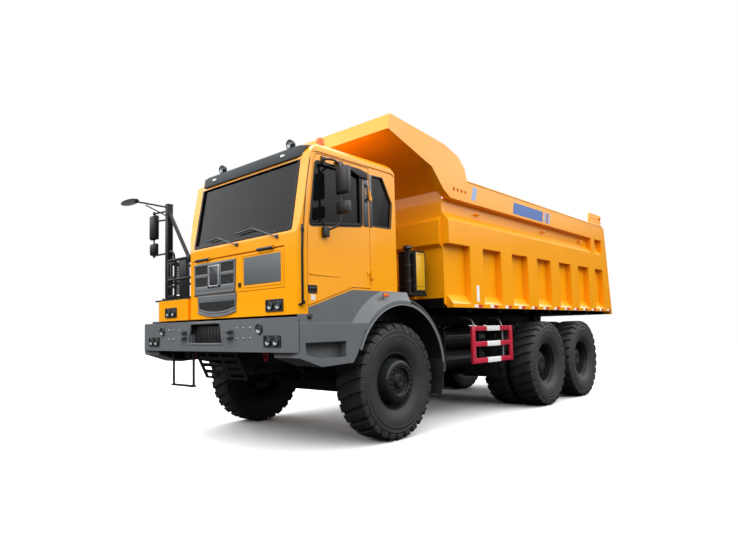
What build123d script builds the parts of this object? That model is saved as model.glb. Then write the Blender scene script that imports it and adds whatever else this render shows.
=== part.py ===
from build123d import *
from math import cos, hypot, pi, sin
import os

# Mining dump truck, 6x4, with an off-centre cab and a rock body over the cab.
# Millimetres.  +X is the truck's left, -Y is forward, +Z is up.  While it is modelled,
# y = 0 is the front axle and z = 0 is the ground.  Each piece is centred on export.

LEFT, RIGHT = 1, -1
SIDES = (LEFT, RIGHT)

# ---- tyres and wheels: 16.00-25 tyres, single in front and twin behind
TYRE_DIAMETER = 1493
TYRE_WIDTH = 432
WHEEL_SIDES = 16         # flats of a sidewall, rim or hub
LUG_COUNT = 24
LUG_DEPTH = 34
TREAD_WIDTH = 376
SIDEWALL_RADIUS = 0.82 * TYRE_DIAMETER / 2    # where the tyre is widest
RIM_RADIUS = 352
RIM_WIDTH = 290
RIM_WALL = 26
TWIN_GAP = 68            # between the sidewalls of a pair
BEAD_SEAT = RIM_WIDTH / 2 + 5

# ---- axles
WHEELBASE = 4020
TANDEM_GAP = 1640
FRONT_TYRE_X = 1374      # centre of the front tyre
TWIN_CENTRE_X = 1352     # middle of each pair
AXLE_Z = TYRE_DIAMETER / 2
REAR_AXLES = (("rear_wheel_1", WHEELBASE), ("rear_wheel_2", WHEELBASE + TANDEM_GAP))
KINGPIN_X = 1060
KINGPIN_RADIUS = 36
STEER_ARM = 300          # kingpin to tie rod, straight back
STEER_ARM_Z = 628
TIE_PIN = 15
SPINDLE_RADIUS = 62
RUNNING_CLEARANCE = 0.9  # hub on spindle, pin in eye, hoist stage in stage
SEAT_GAP = 0.3           # between faces that only rest on each other
FRONT_SPINDLE = 150      # its end, out from the tyre's middle plane
REAR_SPINDLE = 150       # its end, out from the middle of the pair
AXLE_TUBE_RADIUS = 118
AXLE_SIDES = 12          # flats of an axle tube
ROD_SIDES = 8            # flats of a slender rod or pipe
DIFF_RADIUS = 262
DIFF_NOSE = 90
ENGINE_Y = (-1340, -90)
ENGINE_HALF = 330
ENGINE_Z = (880, 1690)
ENGINE_FEET_Y = (-1150, -300)
GEARBOX_LENGTH = 430
GEARBOX_Z = (735, 1160)
SHAFT_Z = 790            # propeller shaft at the gearbox
SHAFT_RADIUS = 50

# ---- frame
RAIL_X = 470             # outer face of the rail web
RAIL_TOP = 1400
RAIL_DEPTH = 400
RAIL_FLANGE = 110
RAIL_THICK = 16
FRAME_FRONT = -1600
CROSS_DEPTH = 200
CROSS_WIDTH = 130
CROSS_Y = (-1440, 1180, 2500, WHEELBASE - 720, WHEELBASE + TANDEM_GAP + 340)
CAB_STANDS = (-780, -150)
TRUNNION_Z = AXLE_Z + 158.5
TRUNNION_RADIUS = 80
TRUNNION_Y = WHEELBASE + TANDEM_GAP / 2
GUARD_Y = (1741, WHEELBASE - 932)
GUARD_Z = (857, 1431)
TANK_Y = (1350, WHEELBASE - 1100)
TANK_Z = (800, 1376)

# ---- bumper and front
BUMPER_FRONT = -1814
BUMPER_BACK = -1600
BUMPER_HALF = 1680
BUMPER_FACE_HALF = 1515
BUMPER_CHAMFER = 46
BUMPER_Z = (1188, 1565)
PLATE = 20
FACE_Y = -1650           # plane of the cab's front

# ---- fenders and wheel arch
FENDER_X = 1680
FENDER_INNER_X = 1180
FENDER_BOX_X = 1270
FENDER_FRONT = -1765
DECK_Z = 1492            # step deck ahead of the wheel
ARCH_Z = AXLE_Z + 103.5  # height of the arch centre, over the axle
ARCH_OPENING = AXLE_Z + 115.5
ARCH_LIP = ARCH_OPENING + 60
ARCH_SHOULDER = ARCH_OPENING + 223
LINER_RADIUS = ARCH_OPENING + 80
LINER_THICK = 12
FENDER_TOP = ARCH_Z + ARCH_LIP + 113

# ---- deck and hand rails on the right of the cab
DECK_PLATE = 22
HAND_RAIL = 21               # radius
MAST = (-1330, -1528)        # (x, y)
MAST_TOP = 3310

# ---- cab
CAB_X = (-700, 1600)
CAB_REAR = 0
CAB_ROOF = 3550
CAB_CHIN = 1597
CAB_WALL = 60
CAB_FRONT_WALL = 90
CAB_CORNER = 95
DOOR_SILL = FENDER_TOP + 30
CAB_FLOOR = DOOR_SILL + 45
SCREEN_Z = (2534, 3382)
SCREEN_X = (-548, 1444)
SCREEN_FOOT_Z = 2500
SCREEN_HEAD = (-1488, 3420)
GLASS = 10
DOOR_GAP = 8
DOOR_REAR = -520
DOOR_TOP = 3405
DOOR_FOOT = (-1556, 1690)
CAB_UNDERSIDE = ((-1560, 1668), (-850, FENDER_TOP))    # (y, z), rising behind the chin
FLAP_X = (-571, 1319)
FLAP_Z = (DOOR_SILL - 10, 2356)
FLAP_THICK = 32

# ---- dump body
PIVOT_Y = WHEELBASE + TANDEM_GAP + 790
PIVOT_Z = 1330
PIVOT_PIN = 45           # radius
BODY_HALF = 1753
BODY_FRONT = 1010
BODY_REAR_LOW = PIVOT_Y + 1110
BODY_REAR_HIGH = PIVOT_Y + 860
RIB_DEPTH = 105
SIDE_PLATE_X = BODY_HALF - RIB_DEPTH    # outer face of the plate between the ribs
BODY_PLATE = 14
BODY_LOW = 1696
FLOOR_TOP = 1762
FLOOR_PLATE = 22
BELT_Z = (2613, 2950)
RAIL_Z = (3272, 3600)
CANOPY_REAR = 1563       # where the canopy's cheek ends and the top rail begins
CHEEK_HOLES = 4
CHEEK_HOLE_PITCH = 105
RIB_WIDTH = 380
RIB_FIRST = 1566
RIB_COUNT = 6
RIB_PITCH = (BODY_REAR_LOW - 288 - RIB_FIRST) / RIB_COUNT
BEAM_Z = 1456            # underside of the body's long beams
BEAM_X = (372, 452)
REST_PAD_COUNT = 5
REST_PAD_Y = (1500, PIVOT_Y - 950)    # the first and the last
REST_PAD_HALF = 90

# ---- hoist: barrel foot on the frame and eye on the body's front wall
HOIST_FOOT = (500, 965)      # (y, z)
HOIST_EYE = (540, 2800)
HOIST_RADII = (125, 107, 89, 71)
HOIST_FOOT_PIN = 39
HOIST_EYE_BORE = 30
HOIST_EYE_RADIUS = 52
HOIST_EYE_WIDTH = 130
HOIST_EAR_GAP = 17
HOIST_EAR_THICK = 26

# ---- tailgate
GATE_PIVOT = (BODY_REAR_HIGH - 70, RAIL_Z[1] + 200)    # (y, z) of its pins
GATE_PIN = 26
GATE_ARM_X = (BODY_HALF - 105, BODY_HALF - 69)

# ---- hinges: doors at their rear edge, service flap at its top
KNUCKLE_RADIUS = 14
KNUCKLE_PROUD = 16           # hinge axis off the cab's side
KNUCKLE_HALF = 56            # half the height of a door hinge
DOOR_HINGE_Z = (DOOR_SILL + 165, DOOR_TOP - 345)
HINGE_LEAF = 8
FLAP_HINGE_X = ((-472, -161), (849, 1144))
FLAP_HINGE_AXIS = (FACE_Y - 14, FLAP_Z[1] + 16)    # (y, z)
FLAP_BARREL = 12


# ---------------------------------------------------------------- plain shapes
def block(x, y, z):
    """Box between the pairs of x, y and z."""
    size = (abs(x[1] - x[0]), abs(y[1] - y[0]), abs(z[1] - z[0]))
    return Pos((x[0] + x[1]) / 2, (y[0] + y[1]) / 2, (z[0] + z[1]) / 2) * Box(*size)


def across(points, x):
    """Side outline of (y, z) points, extruded across the truck between the pair x."""
    low, high = sorted(x)
    outline = Polyline(*[(low, y, z) for y, z in points], close=True)
    return extrude(make_face(outline), amount=high - low, dir=(1, 0, 0))


def along(points, y):
    """Front outline of (x, z) points, extruded along the truck between the pair y."""
    low, high = sorted(y)
    outline = Polyline(*[(x, low, z) for x, z in points], close=True)
    return extrude(make_face(outline), amount=high - low, dir=(0, 1, 0))


def upward(points, z):
    """Plan outline of (x, y) points, extruded upwards between the pair z."""
    low, high = sorted(z)
    outline = Polyline(*[(x, y, low) for x, y in points], close=True)
    return extrude(make_face(outline), amount=high - low, dir=(0, 0, 1))


def bar(start, end, radius):
    """Round bar between two points."""
    axis = Vector(*end) - Vector(*start)
    seat = Plane(origin=start, z_dir=axis)
    return seat * Cylinder(radius, axis.length, align=(Align.CENTER, Align.CENTER, Align.MIN))


def disc(x, radius, y, z):
    """Round disc or drum with its axis across the truck."""
    low, high = sorted(x)
    return bar((low, y, z), (high, y, z), radius)


def rod(start, end, radius, sides=ROD_SIDES):
    """Slender rod or pipe between two points, as a bar with flats."""
    axis = Vector(*end) - Vector(*start)
    seat = Plane(origin=start, z_dir=axis)
    return extrude(seat * RegularPolygon(radius, sides), amount=axis.length)


def ring_point(x, radius, count, sides):
    """Corner of a faceted ring about the axis through y = 0, z = 0."""
    angle = 2 * pi * count / sides
    return Vector(x, radius * cos(angle), radius * sin(angle))


def facet_band(start, end, sides):
    """Flat facets between two rings, each given as (x, radius)."""
    facets = []
    for count in range(sides):
        corners = [ring_point(*start, count, sides), ring_point(*start, count + 1, sides),
                   ring_point(*end, count + 1, sides), ring_point(*end, count, sides)]
        facets.append(Face(Wire.make_polygon(corners)))
    return facets


def facet_drum(stations, sides=WHEEL_SIDES):
    """Closed turned drum across the truck, with flats: (x, radius) stations from end to end."""
    facets = []
    for start, end in zip(stations, stations[1:]):
        facets += facet_band(start, end, sides)
    for x, radius in (stations[0], stations[-1]):
        corners = [ring_point(x, radius, count, sides) for count in range(sides)]
        facets.append(Face(Wire.make_polygon(corners)))
    return Solid(Shell(facets))


def facet_ring(stations, sides=WHEEL_SIDES):
    """Turned ring across the truck, with flats: (x, radius) stations round its closed section."""
    facets = []
    for start, end in zip(stations, stations[1:] + stations[:1]):
        facets += facet_band(start, end, sides)
    return Solid(Shell(facets))


def group(*pieces):
    """Separate solids of one node, held together without joining them."""
    return Compound([solid for piece in pieces for solid in piece.solids()])


def mirrored(shape):
    """The same piece on the truck's other side."""
    return shape.mirror(Plane.YZ)


def on_side(shape, side):
    """A piece drawn on the left, moved to the given side."""
    return shape if side == LEFT else mirrored(shape)


# ---------------------------------------------------------------- wheels
def tyre(x_centre):
    """Tyre with full-depth bar lugs, shoulders, sidewalls and a bead seat."""
    outer = TYRE_DIAMETER / 2
    root = outer - LUG_DEPTH
    pitch = 2 * pi / LUG_COUNT
    # one lug: (angle as a share of the pitch, radius)
    lug = ((0.00, root), (0.05, outer), (0.62, outer), (0.67, root))
    outline = []
    for count in range(LUG_COUNT):
        for share, radius in lug:
            angle = (count + share) * pitch
            outline.append((radius * cos(angle), radius * sin(angle)))
    half_tread = TREAD_WIDTH / 2
    half = TYRE_WIDTH / 2
    carcass = ((-half_tread, root - 6), (half_tread, root - 6), (half, SIDEWALL_RADIUS),
               (BEAD_SEAT, RIM_RADIUS), (-BEAD_SEAT, RIM_RADIUS), (-half, SIDEWALL_RADIUS))
    # the tread is a band of lugs round the carcass
    tread = across(outline, (-half_tread, half_tread))
    tread -= facet_drum(((-half_tread - 1, root - 60), (half_tread + 1, root - 60)))
    return Pos(x_centre, 0, AXLE_Z) * (tread + facet_ring(carcass))


def front_wheel():
    """Left front wheel in one turning: brake drum, rim, disc, cone, hub and cap."""
    half = RIM_WIDTH / 2
    inside = RIM_RADIUS - RIM_WALL
    # (x from the tyre's middle plane, radius), from the inner end out
    section = ((-half - 10, 232), (30, 232), (30, inside), (-half, inside), (-half, RIM_RADIUS),
               (half, RIM_RADIUS), (half, inside), (56, inside), (56, 300), (150, 285), (215, 272),
               (242, 240), (242, 168), (200, 168), (200, 88), (236, 88))
    wheel = facet_drum(section)
    wheel -= disc((-half - 11, FRONT_SPINDLE + 20), SPINDLE_RADIUS + RUNNING_CLEARANCE, 0, 0)
    return Pos(FRONT_TYRE_X, 0, AXLE_Z) * wheel


def rear_wheel():
    """Left pair of rear rims on one spacer band, with a deep disc and a recessed hub."""
    offset = (TYRE_WIDTH + TWIN_GAP) / 2
    half = RIM_WIDTH / 2
    end = offset + half
    step = offset - half
    spacer = RIM_RADIUS - RIM_WALL
    inside = spacer - RIM_WALL
    # (x from the middle of the pair, radius), from the inner end out
    section = ((20 - end, 240), (60, 240), (60, inside), (-end, inside), (-end, RIM_RADIUS),
               (-step, RIM_RADIUS), (-step, spacer), (step, spacer), (step, RIM_RADIUS), (end, RIM_RADIUS),
               (end, inside), (92, inside), (92, 200), (end - 97, 200), (end - 97, 150), (end - 75, 150))
    wheel = facet_drum(section)
    wheel -= disc((-end, REAR_SPINDLE + 40), SPINDLE_RADIUS + RUNNING_CLEARANCE, 0, 0)
    return Pos(TWIN_CENTRE_X, 0, AXLE_Z) * wheel


def twin_tyres(side, y):
    """Pair of rear tyres on one side, over the axle at y."""
    offset = (TYRE_WIDTH + TWIN_GAP) / 2
    pair = [tyre(side * (TWIN_CENTRE_X - offset)), tyre(side * (TWIN_CENTRE_X + offset))]
    return group(*[Pos(0, y, 0) * single for single in pair])


# ---------------------------------------------------------------- running gear
def frame_rails():
    """Two channel rails with crossmembers, cab stands and the body's pivot tube."""
    inner = RAIL_X - RAIL_THICK
    low = RAIL_TOP - RAIL_DEPTH
    end = PIVOT_Y + 96
    # rail side outline (y, z), sloped behind the pivot where the body's beams come down
    web = ((FRAME_FRONT, low + 60), (FRAME_FRONT + 300, low), (end, low), (end, PIVOT_Z - 30),
           (PIVOT_Y - 60, RAIL_TOP), (FRAME_FRONT, RAIL_TOP))
    frame = None
    for side in SIDES:
        rail = across(web, (side * inner, side * RAIL_X))
        flange_x = (side * (RAIL_X - RAIL_FLANGE), side * RAIL_X)
        rail += block(flange_x, (FRAME_FRONT + 300, end), (low, low + RAIL_THICK))
        rail += block(flange_x, (FRAME_FRONT, PIVOT_Y - 60), (RAIL_TOP - RAIL_THICK, RAIL_TOP))
        for y in CAB_STANDS:
            stand_x = (side * (RAIL_X - 96), side * (RAIL_X - RAIL_THICK))
            rail += block(stand_x, (y - 55, y + 55), (RAIL_TOP, FENDER_TOP))
        for count in range(REST_PAD_COUNT):
            y = REST_PAD_Y[0] + count * (REST_PAD_Y[1] - REST_PAD_Y[0]) / (REST_PAD_COUNT - 1)
            pad_x = (side * BEAM_X[0], side * BEAM_X[1])
            rail += block(pad_x, (y - REST_PAD_HALF, y + REST_PAD_HALF), (RAIL_TOP, BEAM_Z - SEAT_GAP))
        frame = rail if frame is None else frame + rail
    for y in CROSS_Y:
        reach = (y - CROSS_WIDTH / 2, y + CROSS_WIDTH / 2)
        frame += block((-inner, inner), reach, (RAIL_TOP - CROSS_DEPTH - 30, RAIL_TOP - 30))
    frame += block((-inner, inner), (TRUNNION_Y - 90, TRUNNION_Y + 90), (low + 40, RAIL_TOP - 30))
    frame += disc((-RAIL_X, RAIL_X), PIVOT_PIN + 42, PIVOT_Y, PIVOT_Z)
    frame -= disc((-RAIL_X - 1, RAIL_X + 1), PIVOT_PIN + RUNNING_CLEARANCE, PIVOT_Y, PIVOT_Z)
    foot_y, foot_z = HOIST_FOOT
    for side in SIDES:
        frame += block((side * 160, side * inner), (foot_y - 60, foot_y + 60), (foot_z - 55, foot_z + 55))
    frame -= disc((-RAIL_X + 60, RAIL_X - 60), HOIST_FOOT_PIN + RUNNING_CLEARANCE, foot_y, foot_z)
    return frame


def front_axle_beam():
    """Forged drop beam with kingpin eyes at its ends and spring seats."""
    eye = 68
    # front outline (x, z) of the beam's left half
    half = ((0, 560), (560, 560), (760, 620), (KINGPIN_X, 690), (KINGPIN_X, 800), (900, 800),
            (700, 720), (0, 700))
    beam = None
    for side in SIDES:
        part = along([(side * x, z) for x, z in half], (-70, 70))
        part += bar((side * KINGPIN_X, 0, 680), (side * KINGPIN_X, 0, 812), eye)
        part += block((side * 350, side * 490), (-120, 120), (700, 722))
        bore = KINGPIN_RADIUS + RUNNING_CLEARANCE
        part -= bar((side * KINGPIN_X, 0, 600), (side * KINGPIN_X, 0, 900), bore)
        beam = part if beam is None else beam + part
    return beam


def knuckle():
    """Left steering knuckle: forked ears, kingpin, spindle and steering arm."""
    eye = 66
    plate = (KINGPIN_X + 80, KINGPIN_X + 118)
    low_end = STEER_ARM_Z - 14
    piece = block(plate, (-90, 90), (low_end, 872))
    for low, high in ((low_end, 672), (822, 872)):
        piece += rod((KINGPIN_X, 0, low), (KINGPIN_X, 0, high), eye, AXLE_SIDES)
        piece += block((KINGPIN_X, plate[1]), (-eye + 4, eye - 4), (low, high))
    piece += bar((KINGPIN_X, 0, low_end), (KINGPIN_X, 0, 885), KINGPIN_RADIUS)
    piece += disc((plate[1] - 5, FRONT_TYRE_X + FRONT_SPINDLE), SPINDLE_RADIUS, 0, AXLE_Z)
    piece += block((KINGPIN_X - 34, KINGPIN_X + 34), (40, STEER_ARM), (low_end, STEER_ARM_Z + 14))
    piece += rod((KINGPIN_X, STEER_ARM, low_end), (KINGPIN_X, STEER_ARM, STEER_ARM_Z + 14), 36)
    piece += bar((KINGPIN_X, STEER_ARM, STEER_ARM_Z), (KINGPIN_X, STEER_ARM, STEER_ARM_Z + 70), TIE_PIN)
    return piece


def tie_rod():
    """Tie rod between the two steering arms, with an eye over each arm's pin."""
    z = STEER_ARM_Z + 42
    rail = rod((-KINGPIN_X + 30, STEER_ARM, z), (KINGPIN_X - 30, STEER_ARM, z), 24)
    for side in SIDES:
        x = side * KINGPIN_X
        rail += rod((x, STEER_ARM, z - 24), (x, STEER_ARM, z + 24), 36)
        rail -= bar((x, STEER_ARM, z - 60), (x, STEER_ARM, z + 60), TIE_PIN + RUNNING_CLEARANCE)
    return rail


def leaf_pack(x, y, seat_z, rise, lengths, thick):
    """Stack of curved leaves, listed from the lowest up, on a seat at seat_z."""
    pack = None
    bite = 1                 # neighbouring leaves are clamped together
    for count, half in enumerate(lengths):
        base = seat_z + count * (thick - bite)
        lift = rise * (half / max(lengths)) ** 2
        ends = Polyline((x[0], y + half, base + lift), (x[0], y + half, base + lift + thick))
        top = ThreePointArc((x[0], y + half, base + lift + thick), (x[0], y, base + thick),
                            (x[0], y - half, base + lift + thick))
        back = Polyline((x[0], y - half, base + lift + thick), (x[0], y - half, base + lift))
        low = ThreePointArc((x[0], y - half, base + lift), (x[0], y, base), (x[0], y + half, base + lift))
        leaf = extrude(make_face(Wire([*ends.edges(), top.edge(), *back.edges(), low.edge()])),
                       amount=x[1] - x[0], dir=(1, 0, 0))
        pack = leaf if pack is None else pack + leaf
    return pack


def front_springs():
    """Front leaf springs with their hangers under the rails."""
    low = RAIL_TOP - RAIL_DEPTH
    springs = []
    for side in SIDES:
        x = (368, 466) if side == LEFT else (-466, -368)
        pack = leaf_pack(x, 0, 722, 150, (340, 480, 620, 760), 26)
        for y in (-745, 745):
            pack += block(x, (y - 45, y + 45), (722 + 150 + 60, low))
        springs.append(pack)
    return group(*springs)


def rear_suspension():
    """Walking springs on the trunnion between the two rear axles."""
    low = RAIL_TOP - RAIL_DEPTH
    axles = (WHEELBASE, WHEELBASE + TANDEM_GAP)
    gear = rod((-740, TRUNNION_Y, TRUNNION_Z), (740, TRUNNION_Y, TRUNNION_Z), TRUNNION_RADIUS, AXLE_SIDES)
    for side in SIDES:
        inner = (side * (RAIL_X - RAIL_FLANGE), side * (RAIL_X + 20))
        gear += block(inner, (TRUNNION_Y - 150, TRUNNION_Y + 150), (TRUNNION_Z - 60, low))
        x = (590, 720) if side == LEFT else (-720, -590)
        seat = TRUNNION_Z + TRUNNION_RADIUS - 10
        gear += leaf_pack(x, TRUNNION_Y, seat, -30, (TANDEM_GAP / 2 + 70, 700, 520, 340), 30)
        for y in axles:
            gear += block(x, (y - 60, y + 60), (AXLE_Z + AXLE_TUBE_RADIUS - 20, seat - 14))
    tube = facet_drum(((-800, AXLE_TUBE_RADIUS), (800, AXLE_TUBE_RADIUS)), AXLE_SIDES)
    for y in axles:
        gear -= Pos(0, y, AXLE_Z) * tube
    return gear


def rear_axles():
    """Two drive axles: banjo housing, tubes and spindles, with the drive nose forward."""
    flange = TWIN_CENTRE_X - (TYRE_WIDTH + TWIN_GAP) / 2 - RIM_WIDTH / 2 - 30
    half = ((150, DIFF_RADIUS), (330, AXLE_TUBE_RADIUS), (flange - 30, AXLE_TUBE_RADIUS),
            (flange - 30, 170), (flange, 170))
    housing = facet_drum([(-x, radius) for x, radius in reversed(half)] + list(half), AXLE_SIDES)
    for side in SIDES:
        housing += disc((side * (flange - 1), side * (TWIN_CENTRE_X + REAR_SPINDLE)), SPINDLE_RADIUS, 0, 0)
    nose = -DIFF_RADIUS - DIFF_NOSE
    housing += rod((0, -DIFF_RADIUS + 60, 0), (0, nose, 0), 105, AXLE_SIDES)
    return group(Pos(0, WHEELBASE, AXLE_Z) * housing, Pos(0, WHEELBASE + TANDEM_GAP, AXLE_Z) * housing)


def driveline():
    """Gearbox with its long propeller shaft and the shaft between the drive axles."""
    nose = DIFF_RADIUS + DIFF_NOSE
    box_y = (ENGINE_Y[1], ENGINE_Y[1] + GEARBOX_LENGTH)
    end = WHEELBASE - nose
    flange = SHAFT_RADIUS + 12
    gearbox = block((-210, 210), box_y, GEARBOX_Z)
    gearbox += rod((0, box_y[1], SHAFT_Z), (0, box_y[1] + 40, SHAFT_Z), flange)
    gearbox += rod((0, box_y[1] + 20, SHAFT_Z), (0, end - 40, AXLE_Z), SHAFT_RADIUS)
    gearbox += rod((0, end - 60, AXLE_Z), (0, end, AXLE_Z), flange)
    between = rod((0, WHEELBASE + DIFF_RADIUS, AXLE_Z), (0, end + TANDEM_GAP, AXLE_Z), SHAFT_RADIUS)
    return group(gearbox, between)


def engine():
    """Engine as one plain block on four feet, and the radiator on the front crossmember."""
    inner = RAIL_X - RAIL_THICK
    motor = block((-ENGINE_HALF, ENGINE_HALF), ENGINE_Y, ENGINE_Z)
    for y in ENGINE_FEET_Y:
        motor += block((-inner, inner), (y - 60, y + 60), (1060, 1120))
    cooler = block((-355, 355), (-1505, -1400), (RAIL_TOP - 30, 1660))
    return group(motor, cooler)


def front_bumper():
    """Deep pressed-steel bumper: bent plate, top and bottom plates, opening and tow ears."""
    low, high = BUMPER_Z
    # plan outline (x, y)
    t = PLATE
    inner = FENDER_BOX_X - 2
    outside = ((-inner, BUMPER_BACK), (-inner, FENDER_FRONT), (-BUMPER_HALF, FENDER_FRONT),
               (-BUMPER_HALF, BUMPER_FRONT + BUMPER_CHAMFER), (-BUMPER_FACE_HALF, BUMPER_FRONT),
               (BUMPER_FACE_HALF, BUMPER_FRONT), (BUMPER_HALF, BUMPER_FRONT + BUMPER_CHAMFER),
               (BUMPER_HALF, FENDER_FRONT), (inner, FENDER_FRONT), (inner, BUMPER_BACK))
    inside = ((-inner + t, BUMPER_BACK + 1), (-inner + t, BUMPER_FRONT + t), (inner - t, BUMPER_FRONT + t),
              (inner - t, BUMPER_BACK + 1))
    bumper = upward(outside, (low, high)) - upward(inside, (low + t, high - t))
    # opening in the face (x, z), with a dark plate set back behind it
    opening = ((-350, 1528), (300, 1528), (340, 1292), (-400, 1292))
    bumper -= along(opening, (BUMPER_FRONT - 1, BUMPER_FRONT + t + 1))
    bumper += block((-430, 370), (BUMPER_FRONT + 80, BUMPER_FRONT + 92), (low + t, high - t))
    for side in SIDES:
        horn = (side * (RAIL_X - 100), side * RAIL_X)
        bumper += block(horn, (BUMPER_FRONT + t, FRAME_FRONT), (low + t, RAIL_TOP))
        for z in (1358, 1428):
            ear = block((side * 445, side * 575), (BUMPER_FRONT - 70, BUMPER_FRONT), (z, z + 26))
            bumper += ear
        bumper -= bar((side * 510, BUMPER_FRONT - 38, 1300), (side * 510, BUMPER_FRONT - 38, 1500), 24)
    return bumper


def bumper_guard():
    """Sloping slotted plate under the bumper's middle."""
    top = (-1700, BUMPER_Z[0])
    bottom = (-1520, 826)
    thick = 14
    outline = (top, bottom, (bottom[0] + thick, bottom[1]), (top[0] + thick, top[1]))
    guard = across(outline, (-465, 465))
    # rows of slots: share of the way down the plate
    for share in (0.14, 0.38, 0.62, 0.86):
        z = top[1] + share * (bottom[1] - top[1])
        for x0, x1 in ((-400, -230), (-160, 60), (130, 400)):
            guard -= block((x0, x1), (-1760, -1460), (z - 20, z + 20))
    return guard


def entry_step():
    """Hanging step under the bumper: two straps and a tread."""
    y = (-1712, -1652)
    step = None
    for x in (-1010, -505):
        strap = block((x - 20, x + 20), (-1690, -1674), (730, BUMPER_Z[0]))
        step = strap if step is None else step + strap
    step += block((-1030, -485), y, (716, 740))
    return step


def fender(side):
    """Front fender: step box, flare over the wheel, liner hoop and carrier arm."""
    wall = 30
    front = FENDER_FRONT
    box_outline = ((front, 1130), (front, DECK_Z), (-690, DECK_Z), (-880, 1120), (-945, 1040), (-1440, 1020))
    inside = ((front + wall, 1150), (front + wall, DECK_Z - wall), (-700, DECK_Z - wall), (-960, 1120),
              (-980, 1040 + wall), (-1430, 1020 + wall))
    inner_x = FENDER_BOX_X
    piece = across(box_outline, (inner_x, FENDER_X)) - across(inside, (inner_x - 1, FENDER_X - wall))
    # flare between the arch lip and the cab's underside
    flare = across(((-1000, DECK_Z - 2), (-1000, 1600), (-830, FENDER_TOP - 60), (-700, FENDER_TOP),
                    (170, FENDER_TOP), (170, 1400), (-700, 1400)), (1600, FENDER_X))
    chin = CAB_UNDERSIDE[0][0]
    flare += across(((-1690, DECK_Z - 2), (-1690, CAB_CHIN), (chin, CAB_CHIN), *CAB_UNDERSIDE,
                     (170, FENDER_TOP), (170, 1600), (-700, DECK_Z - 2)), (1572, 1600))
    cone = Pos(1600, 0, ARCH_Z) * Rot(0, 90, 0) * Cone(ARCH_SHOULDER, ARCH_LIP, FENDER_X - 1600,
                                                       align=(Align.CENTER, Align.CENTER, Align.MIN))
    outside = block((1600, FENDER_X), (-1200, 171), (DECK_Z, 2000)) - cone
    flare -= outside
    piece += flare
    piece -= disc((FENDER_INNER_X - 60, FENDER_X + 1), ARCH_OPENING, 0, ARCH_Z)
    piece -= disc((FENDER_INNER_X - 60, FENDER_X - wall), LINER_RADIUS, 0, ARCH_Z)
    # liner hoop over the wheel, down to the mudguard behind it
    hoop = disc((FENDER_INNER_X, FENDER_X - 24), LINER_RADIUS + LINER_THICK, 0, ARCH_Z)
    hoop -= disc((FENDER_INNER_X - 1, FENDER_X), LINER_RADIUS, 0, ARCH_Z)
    hoop -= across(((-1100, -200), (-1100, 1080), (0, ARCH_Z), (1100, 800), (1100, -200)), (1000, 1700))
    piece += hoop
    # step pocket in the side of the box (y, z)
    pocket = ((-1668, 1160), (-1678, 1287), (-1056, 1289), (-1062, 1112), (-1465, 1106))
    floor = ((-1690, 1140), (-1700, 1305), (-1034, 1305), (-1040, 1096), (-1465, 1090))
    piece += across(floor, (FENDER_X - 150, FENDER_X - wall + 1))
    piece -= across(pocket, (FENDER_X - 130, FENDER_X + 1))
    # carrier arm from the rail
    piece += block((RAIL_X, inner_x + 40), (-1350, -1270), (1290, 1370))
    piece += block((inner_x, inner_x + 40), (-1350, -1270), (1045, 1370))
    return on_side(piece, side)


def hood_corner():
    """Right front corner panel with the far headlamp, under the walkway."""
    x = (-BUMPER_HALF + 185, CAB_X[0] - 2)
    shell = block(x, (FACE_Y, -1000), (CAB_CHIN, FENDER_TOP))
    shell -= block((x[0] + 30, x[1] - 30), (FACE_Y + 30, -999), (CAB_CHIN - 1, FENDER_TOP - 30))
    return shell


def walkway():
    """Deck on the right of the cab with its posts and hand rails."""
    z = FENDER_TOP
    deck = block((-1640, CAB_X[0] - 4), (FACE_Y + 20, -20), (z, z + DECK_PLATE))
    x = -1600
    ends = (FACE_Y + 50, -60)
    for y in (ends[0], -1075, -550, ends[1]):
        deck += rod((x, y, z + 10), (x, y, z + 555), HAND_RAIL)
    deck += rod((-800, ends[0], z + 10), (-800, ends[0], z + 555), HAND_RAIL)
    for height in (z + 275, z + 555):
        deck += rod((x, ends[0], height), (x, ends[1], height), HAND_RAIL)
        deck += rod((x, ends[0], height), (-800, ends[0], height), HAND_RAIL)
    for place in (-1010, -1120):
        deck += block((place - 22, place + 22), (ends[0] - 12, ends[0] + 12), (z + 10, z + 555))
    return deck


def mirror_mast():
    """Right mirror mast with its brace, arms, two mirror heads and the round front mirror."""
    x, y = MAST
    head_x = (-1880, -1690)
    stem = (head_x[0] + 95, y - 10)
    mast = block((x - 45, x + 45), (y - 45, y + 45), (FENDER_TOP + DECK_PLATE, MAST_TOP))
    # brace down to a foot on the cab's corner
    mast += rod((x, y, MAST_TOP - 110), (CAB_X[0] - 30, -1602, 2440), 28)
    mast += block((CAB_X[0] - 50, CAB_X[0] + 20), (-1630, -1574), (2390, 2490))
    mast -= cab_envelope(0, 0, CAB_CHIN)
    for z, rise in ((3190, 20), (3060, 20), (2640, 0)):
        mast += rod((x, y, z), (*stem, z + rise), 14)
    mast += rod((*stem, 2600), (*stem, 3230), 12)
    mast += block(head_x, (y - 62, y + 8), (2880, 3170))
    mast += block((head_x[0] + 5, head_x[1] - 5), (y - 58, y + 4), (2680, 2830))
    disc_centre = (-1750, -1969, 3349)
    mast += rod((x, y, MAST_TOP - 60), disc_centre, 13)
    mast += rod((x, y, 3120), (-1600, -1800, 3306), 10)
    tilt = Plane(origin=disc_centre, z_dir=(0.35, -0.45, 0.82))
    mast += extrude(tilt * RegularPolygon(130, WHEEL_SIDES), amount=13, both=True)
    return mast


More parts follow.
